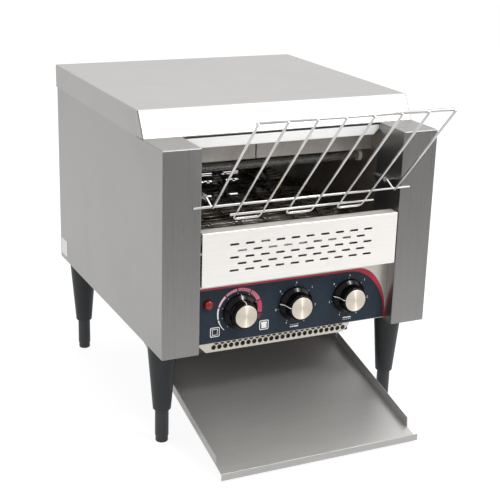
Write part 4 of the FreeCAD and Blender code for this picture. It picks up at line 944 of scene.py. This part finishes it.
def makePointer(name):
    # printed line on the skirt and along the grip
    turn, line = math.radians(knobs["pointers"][name]), knobs["line"]
    outward = Vector((math.sin(turn), 0, math.cos(turn)))
    sideways = Vector((math.cos(turn), 0, -math.sin(turn))) * line["half"]
    mesh = bmesh.new()
    rows = []
    for along, radius in knobs["pointer"]:
        centre = Vector((knobs["places"][name], along, knobs["height"]))
        top = centre + outward * (radius + line["proud"])
        low = centre + outward * (radius - line["sunk"])
        rows.append([mesh.verts.new(corner) for corner in
                     (low - sideways, top - sideways, top + sideways, low + sideways)])
    for first, second in zip(rows, rows[1:]):
        for index in range(4):
            after = (index + 1) % 4
            mesh.faces.new((first[index], first[after], second[after], second[index]))
    mesh.faces.new(rows[0])
    mesh.faces.new(rows[-1])
    bmesh.ops.recalc_face_normals(mesh, faces=mesh.faces)
    paintInk(mesh, inks["pointer"])
    piece = addPiece(name + "_pointer", mesh, "ink", weighted=False)
    settle(piece, name + "_knob", "knob_black")


def paintInk(mesh, tone, faces=None):
    layer = mesh.loops.layers.float_color.get("ink") or mesh.loops.layers.float_color.new("ink")
    for face in faces or mesh.faces:
        for loop in face.loops:
            loop[layer] = tone


for knobName in knobs["places"]:
    makeKnob(knobName)
    makePointer(knobName)
print("knobs turned")


# Control overlay and its printing

overlay = {"left": -135.4, "bend": 92.0, "right": 135.4, "foot": 5.0, "top": 77.0,
           "face": 16.7, "film": 0.5, "border": 2.2, "innerBend": 78.0, "innerRight": 133.3,
           "margin": 0.15, "raise": 0.06, "steps": 32}


def overlayOutline(bendStart, right, top, foot):
    turns = [math.pi / 2 * step / overlay["steps"] for step in range(overlay["steps"] + 1)]
    return [(bendStart + (right - bendStart) * math.sin(turn),
             foot + (top - foot) * math.cos(turn)) for turn in turns]


def makeOverlay():
    bend = overlayOutline(overlay["bend"], overlay["right"], overlay["top"], overlay["foot"])
    outline = [(overlay["left"], overlay["foot"]), (overlay["left"], overlay["top"])] + bend
    mesh = bmesh.new()
    film = overlay["film"]
    addPrism(mesh, [(x, overlay["face"], z) for x, z in outline], (0, film, 0))
    roundFolds(mesh, fold=0.15, rim=0.12, sheet=film, steps=2)
    piece = addPiece("overlay_film", mesh, "overlay")
    settle(piece, "casing", "overlay_film", "control_overlay")


scaleRing = {"narrow": 29.6, "widening": 5.6, "outer": 30.5, "dots": 24.1, "gap": 1.5,
             "dot": 0.5, "turns": (-138, -105, -74, -41, -7, 31, 66, 101, 118),
             "inks": ((246, 246, 244), (244, 242, 242), (240, 200, 206), (224, 142, 162),
                      (204, 118, 134), (206, 108, 124), (200, 64, 104), (122, 20, 56))}
marks = {"knobs": ("top_element", "bottom_element"), "count": 7, "size": 4.0,
         "away": (26.5, 28.6), "shift": (1.2, 0.8), "ticks": 24.0, "dot": 0.45}
slices = {"places": (((-108.1, 19.0), False), ((-41.3, 19.0), True)), "outer": (6.4, 1.9),
          "inner": (5.4, 1.4), "size": 8.4, "crust": 0.82}
heaterSigns = {"height": 11.6, "sides": (1, -1), "pitch": 2.6, "bar": (0.8, 0.3),
               "barLevel": 2.0, "slice": (6, 0.7), "sliceLevel": 0.6}


def printShape(mesh, outline, tone):
    # thin raised ink on the film, outline in (x, z)
    near = overlay["face"] - overlay["raise"]
    faces = addPrism(mesh, [(x, near, z) for x, z in outline], (0, overlay["face"] - near, 0))
    paintInk(mesh, tone, faces)


def ringPart(centre, start, end, inner, outer, steps=10):
    turns = [math.radians(start + (end - start) * step / steps) for step in range(steps + 1)]
    far = [(centre[0] + outer * math.sin(turn), centre[1] + outer * math.cos(turn))
           for turn in turns]
    near = [(centre[0] + inner(turn) * math.sin(turn), centre[1] + inner(turn) * math.cos(turn))
            for turn in reversed(turns)]
    return far + near


def dot(centre, radius, steps=12):
    return [(centre[0] + radius * math.cos(2 * math.pi * step / steps),
             centre[1] + radius * math.sin(2 * math.pi * step / steps)) for step in range(steps)]


def roundedBox(centre, halves, corner, steps=5):
    points = []
    for signX, signZ, start in ((1, 1, 0), (-1, 1, 90), (-1, -1, 180), (1, -1, 270)):
        for step in range(steps + 1):
            turn = math.radians(start + 90 * step / steps)
            points.append((centre[0] + signX * (halves[0] - corner) + corner * math.cos(turn),
                           centre[1] + signZ * (halves[1] - corner) + corner * math.sin(turn)))
    return points


def bar(centre, halves):
    return [(centre[0] + signX * halves[0], centre[1] + signZ * halves[1])
            for signX, signZ in ((-1, -1), (1, -1), (1, 1), (-1, 1))]


def printFrame(mesh, outer, inner, tone):
    # closed band between two outlines of the same length
    count = len(outer)
    for index in range(count):
        after = (index + 1) % count
        printShape(mesh, [outer[index], outer[after], inner[after], inner[index]], tone)


def sliceOutline(centre, size):
    # plain slice of bread: square foot, shoulders at the top
    points = [(-0.42, -0.5), (0.42, -0.5), (0.42, 0.12), (0.5, 0.25), (0.47, 0.42), (0.3, 0.5),
              (-0.3, 0.5), (-0.47, 0.42), (-0.5, 0.25), (-0.42, 0.12)]
    return [(centre[0] + x * size, centre[1] + z * size) for x, z in points]


def scaled(outline, centre, share):
    return [(centre[0] + (x - centre[0]) * share, centre[1] + (z - centre[1]) * share)
            for x, z in outline]


def printNumber(mesh, text, centre, size, tone):
    data = bpy.data.curves.new("numeral", "FONT")
    data.body, data.size = text, size
    data.align_x, data.align_y = "CENTER", "CENTER"
    data.extrude, data.resolution_u = overlay["raise"] / 2, 2
    letter = linked("numeral", data)
    graph = bpy.context.evaluated_depsgraph_get()
    flat = bpy.data.meshes.new_from_object(letter.evaluated_get(graph))
    middle = (centre[0], overlay["face"] - overlay["raise"] / 2, centre[1])
    flat.transform(Matrix.Translation(middle) @ Matrix.Rotation(math.pi / 2, 4, "X"))
    before = len(mesh.faces)
    mesh.from_mesh(flat)
    mesh.faces.ensure_lookup_table()
    paintInk(mesh, tone, mesh.faces[before:])
    bpy.data.objects.remove(letter)
    bpy.data.curves.remove(data)
    bpy.data.meshes.remove(flat)


def printBorder(mesh):
    # red border along the top and down the bend
    margin, left = overlay["margin"], overlay["left"] + overlay["margin"]
    top, low = overlay["top"] - margin, overlay["top"] - overlay["border"]
    outer = overlayOutline(overlay["bend"], overlay["right"] - margin, top, overlay["foot"])
    inner = overlayOutline(overlay["innerBend"], overlay["innerRight"], low, overlay["foot"])
    band = list(zip([(left, top)] + outer, [(left, low)] + inner))
    for (a, b), (c, d) in zip(band, band[1:]):
        printShape(mesh, [a, c, d, b], inks["red"])


def printScale(mesh):
    # heat scale round the speed knob
    centre = (knobs["places"]["speed"], knobs["height"])
    turns, gap = scaleRing["turns"], scaleRing["gap"]

    def innerEdge(turn):
        share = max(0.0, (math.degrees(turn) - turns[0]) / (turns[-1] - turns[0]))
        return scaleRing["narrow"] - scaleRing["widening"] * share

    for start, end, ink in zip(turns, turns[1:], scaleRing["inks"]):
        printShape(mesh, ringPart(centre, start + gap, end - gap, innerEdge,
                                  scaleRing["outer"]), linear(*ink))
    for turn in turns:
        angle = math.radians(turn)
        place = (centre[0] + scaleRing["dots"] * math.sin(angle),
                 centre[1] + scaleRing["dots"] * math.cos(angle))
        printShape(mesh, dot(place, scaleRing["dot"]), inks["white"])


def printMarks(mesh, name):
    # numbered marks round an element knob
    middle = (knobs["places"][name], knobs["height"])
    first, others = marks["away"]
    for mark in range(marks["count"]):
        angle = 2 * math.pi * mark / marks["count"]
        toward = (math.sin(angle), math.cos(angle))
        away = others if mark else first
        place = [middle[axis] + marks["shift"][axis] + away * toward[axis] for axis in (0, 1)]
        printNumber(mesh, str(mark), place, marks["size"], inks["white"])
        tick = [middle[axis] + marks["ticks"] * toward[axis] for axis in (0, 1)]
        printShape(mesh, dot(tick, marks["dot"]), inks["white"])


def printSlices(mesh):
    # light and dark slices beside the speed knob
    for middle, filled in slices["places"]:
        outer, inner = [roundedBox(middle, (half, half), corner)
                        for half, corner in (slices["outer"], slices["inner"])]
        printFrame(mesh, outer, inner, inks["white"])
        bread = sliceOutline(middle, slices["size"])
        if filled:
            printShape(mesh, bread, inks["white"])
        else:
            printFrame(mesh, bread, scaled(bread, middle, slices["crust"]), inks["white"])


def printHeaterSigns(mesh):
    # heater above or below a slice, under the element knobs
    for name, side in zip(marks["knobs"], heaterSigns["sides"]):
        across, height = knobs["places"][name], heaterSigns["height"]
        for place in range(-2, 3):
            centre = (across + place * heaterSigns["pitch"],
                      height + side * heaterSigns["barLevel"])
            printShape(mesh, bar(centre, heaterSigns["bar"]), inks["white"])
        centre = (across, height - side * heaterSigns["sliceLevel"])
        printShape(mesh, bar(centre, heaterSigns["slice"]), inks["white"])


def makePrinting():
    mesh = bmesh.new()
    mesh.loops.layers.float_color.new("ink")
    printBorder(mesh)
    printScale(mesh)
    for name in marks["knobs"]:
        printMarks(mesh, name)
    printSlices(mesh)
    printHeaterSigns(mesh)
    piece = addPiece("overlay_printing", mesh, "ink", weighted=False)
    settle(piece, "casing", "overlay_film")


makeOverlay()
makePrinting()
print("overlay printed")


# Pilot lamp

lamp = {"place": (-117.7, 56.4), "steps": 40,
        "bezel": [(39.2, 0), (39.2, 4.2), (16.7, 4.2), (16.7, 6.8), (15.6, 6.8), (15.15, 6.6),
                  (15.05, 6.5), (15.6, 6.3), (15.6, 0)],
        "lens": [(16.0, 0), (16.0, 6.2), (14.6, 6.1), (13.2, 5.6), (12.2, 4.5), (11.75, 3.0),
                 (11.6, 1.3), (11.57, 0)]}


def makeLamp():
    bezel = turnedPiece("lamp_bezel", lamp["bezel"], lamp["place"], "lampBezel", lamp["steps"],
                        creased=35)
    settle(bezel, "casing", "lamp_red", "pilot_lamp")
    lens = turnedPiece("lamp_lens", lamp["lens"], lamp["place"], "lamp", lamp["steps"],
                       creased=60, weighted=False)
    settle(lens, "casing", "lamp_red")


makeLamp()


# Legs and screw feet

legs = {"across": 163.1, "setbacks": {"front": 52.6, "rear": 376.3}, "steps": 48,
        "leg": [(-37.4, 0), (-37.4, 9.0), (-88.9, 9.0), (-89.4, 9.4), (-89.4, 11.0),
                (-88.9, 11.5), (-60.0, 13.9), (-30.0, 16.4), (-1.2, 18.8), (-0.3, 18.5),
                (0, 17.9), (0, 5.0), (9.0, 5.0), (9.0, 0)],
        "foot": [(-74.4, 0), (-74.4, 8.7), (-125.9, 8.7), (-126.5, 8.45), (-126.8, 8.0),
                 (-133.8, 8.0), (-134.6, 7.3), (-134.6, 0)]}


def makeLegs():
    for row, setback in legs["setbacks"].items():
        for sideName, side in leftAndRight.items():
            label = row + "_" + sideName
            for part, piece, body in (("leg", "leg_cone_", "casing"),
                                      ("foot", "foot_sleeve_", "foot_" + label)):
                made = turnedPiece(piece + label, legs[part], (side * legs["across"], setback),
                                   part, legs["steps"], axis="Z")
                settle(made, body, part + "_plastic", part + "_" + label)


makeLegs()
print("legs and lamp made")


# Feed rack

rack = {"wire": 1.5, "rail": 2.0, "weld": 0.2, "gap": 0.3, "lean": 47.0, "restHeight": 185.5,
        "length": 166.0, "overrun": 3.5, "outer": 123.55, "count": 8, "railEnd": 1.5,
        "restReach": 147.0, "lowReach": 98.2, "lowRail": 13.5, "footLength": 29.5,
        "tail": (18.0, 8.5, 28.0), "bend": 6.0, "sideBend": 5.0,
        "railBead": (1.9, 1.6, 1.6), "bead": (1.8, 1.4, 1.4)}


def makeRack():
    mesh = bmesh.new()
    thin, thick, weld = rack["wire"], rack["rail"], rack["weld"]
    lean = math.radians(rack["lean"])
    down = Vector((0, math.cos(lean), -math.sin(lean)))
    above = Vector((0, math.sin(lean), math.cos(lean)))
    rest = Vector((0, -thin - rack["gap"], rack["restHeight"]))
    knee = rest - above * (2 * thin - weld)
    topEnd = knee - down * (rack["length"] + rack["overrun"])
    foot = knee + down * rack["footLength"]
    run, rise, length = rack["tail"]
    tail = [knee + Vector((0, run, rise)), knee + Vector((0, run + length, rise))]
    places = [rack["outer"] * (2 * index / (rack["count"] - 1) - 1)
              for index in range(rack["count"])]

    def across(point, x):
        return Vector((x, point.y, point.z))

    for x in (places[0], places[-1]):
        addWire(mesh, bent([across(point, x) for point in [topEnd, knee] + tail],
                           rack["sideBend"]), thin)
    for left, right in zip(places[1:-1:2], places[2:-1:2]):
        addWire(mesh, bent([across(topEnd, left), across(foot, left), across(foot, right),
                            across(topEnd, right)], rack["bend"], 7), thin)
    upper = knee - down * rack["length"] + above * (thin + thick - weld)
    lower = knee + down * rack["lowRail"] - above * (2 * thin - weld)
    for centre, end, radius in ((upper, rack["outer"] + rack["railEnd"], thick),
                                (rest, rack["restReach"], thin), (lower, rack["lowReach"], thin)):
        addWire(mesh, [across(centre, -end), across(centre, end)], radius)
    # weld beads where the wires cross
    for x in places:
        addEllipsoid(mesh, across(knee - down * rack["length"] + above * thin, x),
                     rack["railBead"])
        addEllipsoid(mesh, across(rest - above * thin, x), rack["bead"])
        if abs(x) < rack["lowReach"]:
            addEllipsoid(mesh, across(lower + above * thin, x), rack["bead"])
    piece = addPiece("rack_wires", mesh, "chrome", creased=60, weighted=False)
    settle(piece, "feed_rack", "rack_wire", "feed_rack")


makeRack()
print("feed rack bent")


# Wire belt

belt = {"front": 46.0, "rear": 330.0, "height": 108.0, "radius": 22.0, "reach": 121.0,
        "rows": 50, "cells": 6, "wire": 0.8, "hook": 8.0, "lap": 1.2, "shoulder": 1.0,
        "endGap": 1.5, "pathSteps": 240}


def beltPoint(distance):
    # place on the belt's path, and the direction that leads along it
    run, radius = belt["rear"] - belt["front"], belt["radius"]
    half = math.pi * radius
    distance %= 2 * run + 2 * half
    if distance < run:
        return (belt["front"] + distance, belt["height"] + radius)
    distance -= run
    if distance < half:
        turn = distance / radius
        return (belt["rear"] + radius * math.sin(turn), belt["height"] + radius * math.cos(turn))
    distance -= half
    if distance < run:
        return (belt["rear"] - distance, belt["height"] - radius)
    turn = (distance - run) / radius
    return (belt["front"] - radius * math.sin(turn), belt["height"] - radius * math.cos(turn))


def makeBeltTree():
    # one bent wire for each row, laid round the belt's path
    tree, given, result = newShapeTree("beltRows", [
        ("Finish", finishKind), ("Rows", whole), ("Wire Radius", number),
        ("Template", itemKind)])
    g = given.outputs
    path, wire = [addNode(tree, "GeometryNodeMeshToCurve", {0: line}).outputs[0]
                  for line in (g["Geometry"], templateOf(tree, given))]
    dots = addNode(tree, "GeometryNodeCurveToPoints", {"Curve": path, "Count": g["Rows"]},
                   mode="COUNT").outputs
    along = addNode(tree, "FunctionNodeAlignRotationToVector", {"Vector": dots["Tangent"]},
                    axis="Y", pivot_axis="X").outputs[0]
    row = sweep(tree, wire, 6, g["Wire Radius"])
    return finishTree(tree, given, result, copiesOn(tree, dots["Points"], row, Rotation=along))


def makeBelt():
    reach, hook, wire = belt["reach"], belt["hook"], belt["wire"]
    total = 2 * (belt["rear"] - belt["front"]) + 2 * math.pi * belt["radius"]
    steps = belt["pathSteps"]
    corners = [atPoint(0, *beltPoint(total * step / steps)) for step in range(steps)]
    piece = linked("belt_wires", pointMesh("beltPath", corners, [(index, (index + 1) % steps)
                                                                 for index in range(steps)]))
    # one row: a straight wire that hooks over the next row at every joint
    ahead = total / belt["rows"] + belt["lap"]
    cell = 2 * reach / belt["cells"]
    points = [(-reach, ahead, wire), (belt["endGap"] - reach, 0, 0)]
    for index in range(belt["cells"]):
        right = cell * (index + 1) - reach
        points += [(right - hook, 0, 0), (right - hook + belt["shoulder"], ahead, wire),
                   (right - belt["shoulder"], ahead, wire), (right, 0, 0)]
    template = linked("beltRow", pointMesh("beltRow", [Vector(point) * 0.001 for point in points],
                                           [(index, index + 1)
                                            for index in range(len(points) - 1)]))
    runTree(piece, makeBeltTree(), Finish=finishes["beltWire"], Rows=belt["rows"],
            Template=template, **{"Wire Radius": wire * 0.001})
    bpy.data.objects.remove(template)
    smooth(piece)
    settle(piece, "casing", "belt_wire", "conveyor_belt")


makeBelt()
print("belt woven")


# Heating tubes with their wire

tubes = {"reach": 131.0, "radius": 5.5, "wall": 0.9, "lip": 0.3, "steps": 32,
         "turns": 58.0, "coil": 3.2, "wire": 0.45, "coilGap": 2.0,
         "top": (203.0, (105.0, 165.0, 225.0, 285.0)),
         "bottom": (108.0, (106.0, 161.0, 216.0, 271.0))}


def makeCoilTree():
    tree, given, result = newShapeTree("heaterCoil", [
        ("Finish", finishKind), ("Turns", number), ("Coil Radius", number),
        ("Length", number), ("Wire Radius", number)])
    g = given.outputs
    helix = addNode(tree, "GeometryNodeCurveSpiral",
                    {"Resolution": 10, "Rotations": g["Turns"], "Start Radius": g["Coil Radius"],
                     "End Radius": g["Coil Radius"], "Height": g["Length"]}).outputs[0]
    coil = sweep(tree, helix, 5, g["Wire Radius"])
    copies = copiesOn(tree, g["Geometry"], coil, Rotation=(0, math.pi / 2, 0))
    return finishTree(tree, given, result, copies)


def makeTubes():
    tree = makeCoilTree()
    reach, radius, lip, gap = [tubes[key] for key in ("reach", "radius", "lip", "coilGap")]
    bore = radius - tubes["wall"]
    profile = [(-reach, bore), (-reach, radius - lip), (-reach + lip, radius),
               (reach - lip, radius), (reach, radius - lip), (reach, bore), (-reach, bore)]
    for row in ("top", "bottom"):
        height, setbacks = tubes[row]
        mesh = bmesh.new()
        for setback in setbacks:
            addTurned(mesh, profile, (setback, height), axis="X", steps=tubes["steps"])
        bmesh.ops.remove_doubles(mesh, verts=mesh.verts, dist=0.001)
        settle(addPiece(row + "_quartz_tubes", mesh, "quartz", creased=40, weighted=False),
               "casing", "quartz", row + "_heating_tubes")
        starts = [atPoint(gap - reach, setback, height) for setback in setbacks]
        coil = linked(row + "_heater_wire", pointMesh("coilStarts", starts))
        runTree(coil, tree, Finish=finishes["coil"], Turns=tubes["turns"],
                Length=2 * (reach - gap) * 0.001,
                **{"Coil Radius": tubes["coil"] * 0.001, "Wire Radius": tubes["wire"] * 0.001})
        settle(coil, "casing", "quartz")


makeTubes()
print("heating tubes filled")


# Screws

screws = {"profile": [(-7.0, 0), (-7.0, 1.6), (-6.6, 2.0), (0, 2.0), (0, 3.7), (0.5, 4.0),
                      (1.2, 3.7), (1.8, 2.9), (2.15, 1.8), (2.2, 0)],
          "steps": 28, "recess": {"wide": 0.55, "reach": 2.2, "top": 3, "depth": 1.9},
          "casingPlaces": [(x, 417.5, z) for x in (-177.0, 177.0) for z in (30.0, 127.5, 225.0)],
          "hoodPlaces": [(x, 418.5, 270.8) for x in (-120.0, 0.0, 120.0)]}


def makeScrews():
    head, cross = bmesh.new(), bmesh.new()
    addTurned(head, screws["profile"], (0, 0), steps=screws["steps"])
    wide, reach, top, depth = screws["recess"].values()
    for x, z in ((wide, reach), (reach, wide)):
        addPrism(cross, [(-x, top, -z), (x, top, -z), (x, top, z), (-x, top, z)], (0, -depth, 0))
    items = []
    for name, mesh in (("screwHead", head), ("screwRecess", cross)):
        data = bpy.data.meshes.new(name)
        mesh.to_mesh(data)
        mesh.free()
        items.append(linked(name, data))
    template, recess = items
    cut = template.modifiers.new("recess", "BOOLEAN")
    cut.object, cut.operation, cut.use_self = recess, "DIFFERENCE", True
    applyModifiers(template)
    template.data.transform(Matrix.Scale(0.001, 4))
    bpy.data.objects.remove(recess)
    places = [atPoint(*place) for place in screws["casingPlaces"] + screws["hoodPlaces"]]
    piece = linked("rear_screw_heads", pointMesh("screwPlaces", places))
    runTree(piece, copiesAtPlaces, Finish=finishes["zinc"], Template=template)
    bpy.data.objects.remove(template)
    piece.data.set_sharp_from_angle(angle=math.radians(35))
    smooth(piece)
    settle(piece, "casing", "zinc_screw", "rear_screws")


makeScrews()


# Cord gland

gland = {"place": (120.0, 34.0),
         "body": [(411.5, 4.2), (411.5, 12.0), (412.0, 12.5), (416.0, 12.5), (416.5, 12.0),
                  (416.5, 9.0), (417.5, 9.0), (417.5, 12.2), (418.0, 12.5), (419.8, 12.5),
                  (420.5, 12.0), (420.5, 9.2), (428.5, 8.6), (430.6, 8.0), (431.5, 7.0),
                  (431.5, 4.8), (431.0, 4.2), (411.5, 4.2)]}


def makeGland():
    mesh = bmesh.new()
    addTurned(mesh, gland["body"], gland["place"], steps=48)
    bmesh.ops.remove_doubles(mesh, verts=mesh.verts, dist=0.001)
    bmesh.ops.recalc_face_normals(mesh, faces=mesh.faces)
    settle(addPiece("gland_body", mesh, "nylon", creased=40), "casing", "gland_nylon",
           "cord_gland")


makeGland()


# Rating plate, left blank

plate = {"centre": (398.5, 19.0), "halves": (14.0, 12.0), "corner": 2.5, "face": -184.4,
         "sheet": 0.4}


def makePlate():
    mesh = bmesh.new()
    outline = [(plate["face"], y, z)
               for y, z in roundedBox(plate["centre"], plate["halves"], plate["corner"])]
    addPrism(mesh, outline, (plate["sheet"], 0, 0))
    settle(addPiece("blank_plate", mesh, "foil"), "casing", "plate_foil", "rating_plate")


makePlate()
print("screws, gland and plate made")


# Nodes that keep their own shape

kept = {"machined": ("drive_wheels", "idler_wheels", "drive_shaft", "idler_shaft", "motor_shaft",
                     "motor_sprocket", "driven_sprocket", "drive_chain", "speed_spindle",
                     "top_element_spindle", "bottom_element_spindle"),
        "brass": ("shaft_bushes",), "ceramic": ("tube_end_caps",), "motorPaint": ("gearmotor",),
        "switchPlastic": ("speed_controller", "top_element_switch", "bottom_element_switch",
                          "terminal_block"),
        "zinc": ("rack_sockets",)}
for finishName, nodeNames in kept.items():
    for nodeName in nodeNames:
        nodes[nodeName].data.materials.clear()
        nodes[nodeName].data.materials.append(finishes[finishName])
print("carried-over nodes finished")


# Floor, light and background

stage = {"floor": 12.0, "paper": (0.9, 0.9, 0.9, 1), "glow": 0.75, "white": 1.17,
         "lightEnds": (-0.35, -1.0), "beyond": (0.28, 0.28, 0.28, 1), "world": (0.55, 1.0)}


def seenDirectly(tree):
    # 1 for rays from the camera, off gloss and through glass
    rays = addNode(tree, "ShaderNodeLightPath").outputs
    mirrored = addMath(tree, "MAXIMUM", rays["Is Glossy Ray"], rays["Is Transmission Ray"])
    return rays, addMath(tree, "MAXIMUM", rays["Is Camera Ray"], mirrored)


def makeFloor():
    half = stage["floor"] / 2
    data = pointMesh("floor", [(-half, -half, 0), (half, -half, 0), (half, half, 0),
                               (-half, half, 0)], faces=[(0, 1, 2, 3)])
    finish = bpy.data.materials.new("paleFloor")
    finish.use_nodes = True
    tree = finish.node_tree
    tree.nodes.remove(tree.nodes["Principled BSDF"])
    rays, seen = seenDirectly(tree)
    # the light floor ends some way in front, as a photographer's table does
    dim = spread(tree, split(tree, objectPlace(tree))["Y"], *stage["lightEnds"])
    dim = addMath(tree, "MULTIPLY", dim, rays["Is Glossy Ray"])
    shine = blendColour(tree, dim, (1, 1, 1, 1), stage["beyond"])
    strength = spread(tree, rays["Is Camera Ray"], 0, 1, 1.0, stage["white"])
    paper = addNode(tree, "ShaderNodeBsdfDiffuse", {"Color": stage["paper"]}).outputs[0]
    glow = addNode(tree, "ShaderNodeEmission", {"Color": shine, "Strength": strength}).outputs[0]
    part = addMath(tree, "MULTIPLY", seen, stage["glow"])
    mix = addNode(tree, "ShaderNodeMixShader", {0: part, 1: paper, 2: glow}).outputs[0]
    tree.links.new(mix, tree.nodes["Material Output"].inputs["Surface"])
    data.materials.append(finish)
    linked("floor", data)


def makeWorld():
    world = bpy.data.worlds.new("studio")
    world.use_nodes = True
    tree = world.node_tree
    background = tree.nodes["Background"].inputs
    strength = spread(tree, seenDirectly(tree)[1], 0, 1, *stage["world"])
    tree.links.new(strength, background["Strength"])
    background["Color"].default_value = (1, 1, 1, 1)
    scene.world = world


lamps = [
    # name, place, aim, size, watts
    ("frontSoftbox", (1.15, -1.6, 2.1), (0, 0, 0.3), (1.2, 0.8), 18.5),
    ("frontGlint", (1.12, -1.55, 2.04), (0, 0, 0.3), (0.32, 0.2), 10),
    ("overheadSoftbox", (0.5, 0.5, 2.4), (0, 0, 0.3), (2.4, 2.4), 30),
    ("leftSoftbox", (-2.2, -0.2, 1.1), (0, 0, 0.3), (1.2, 1.4), 6),
    ("rightSoftbox", (2.2, -0.6, 1.2), (0, 0, 0.3), (1.2, 1.4), 10),
]


def makeLamps():
    for name, place, aim, size, power in lamps:
        data = bpy.data.lights.new(name, "AREA")
        data.shape, data.size, data.size_y = "RECTANGLE", size[0], size[1]
        data.energy = power
        light = linked(name, data)
        light.location = place
        light.rotation_euler = (Vector(aim) - Vector(place)).to_track_quat("-Z", "Y").to_euler()


makeFloor()
makeWorld()
makeLamps()
print("stage lit")
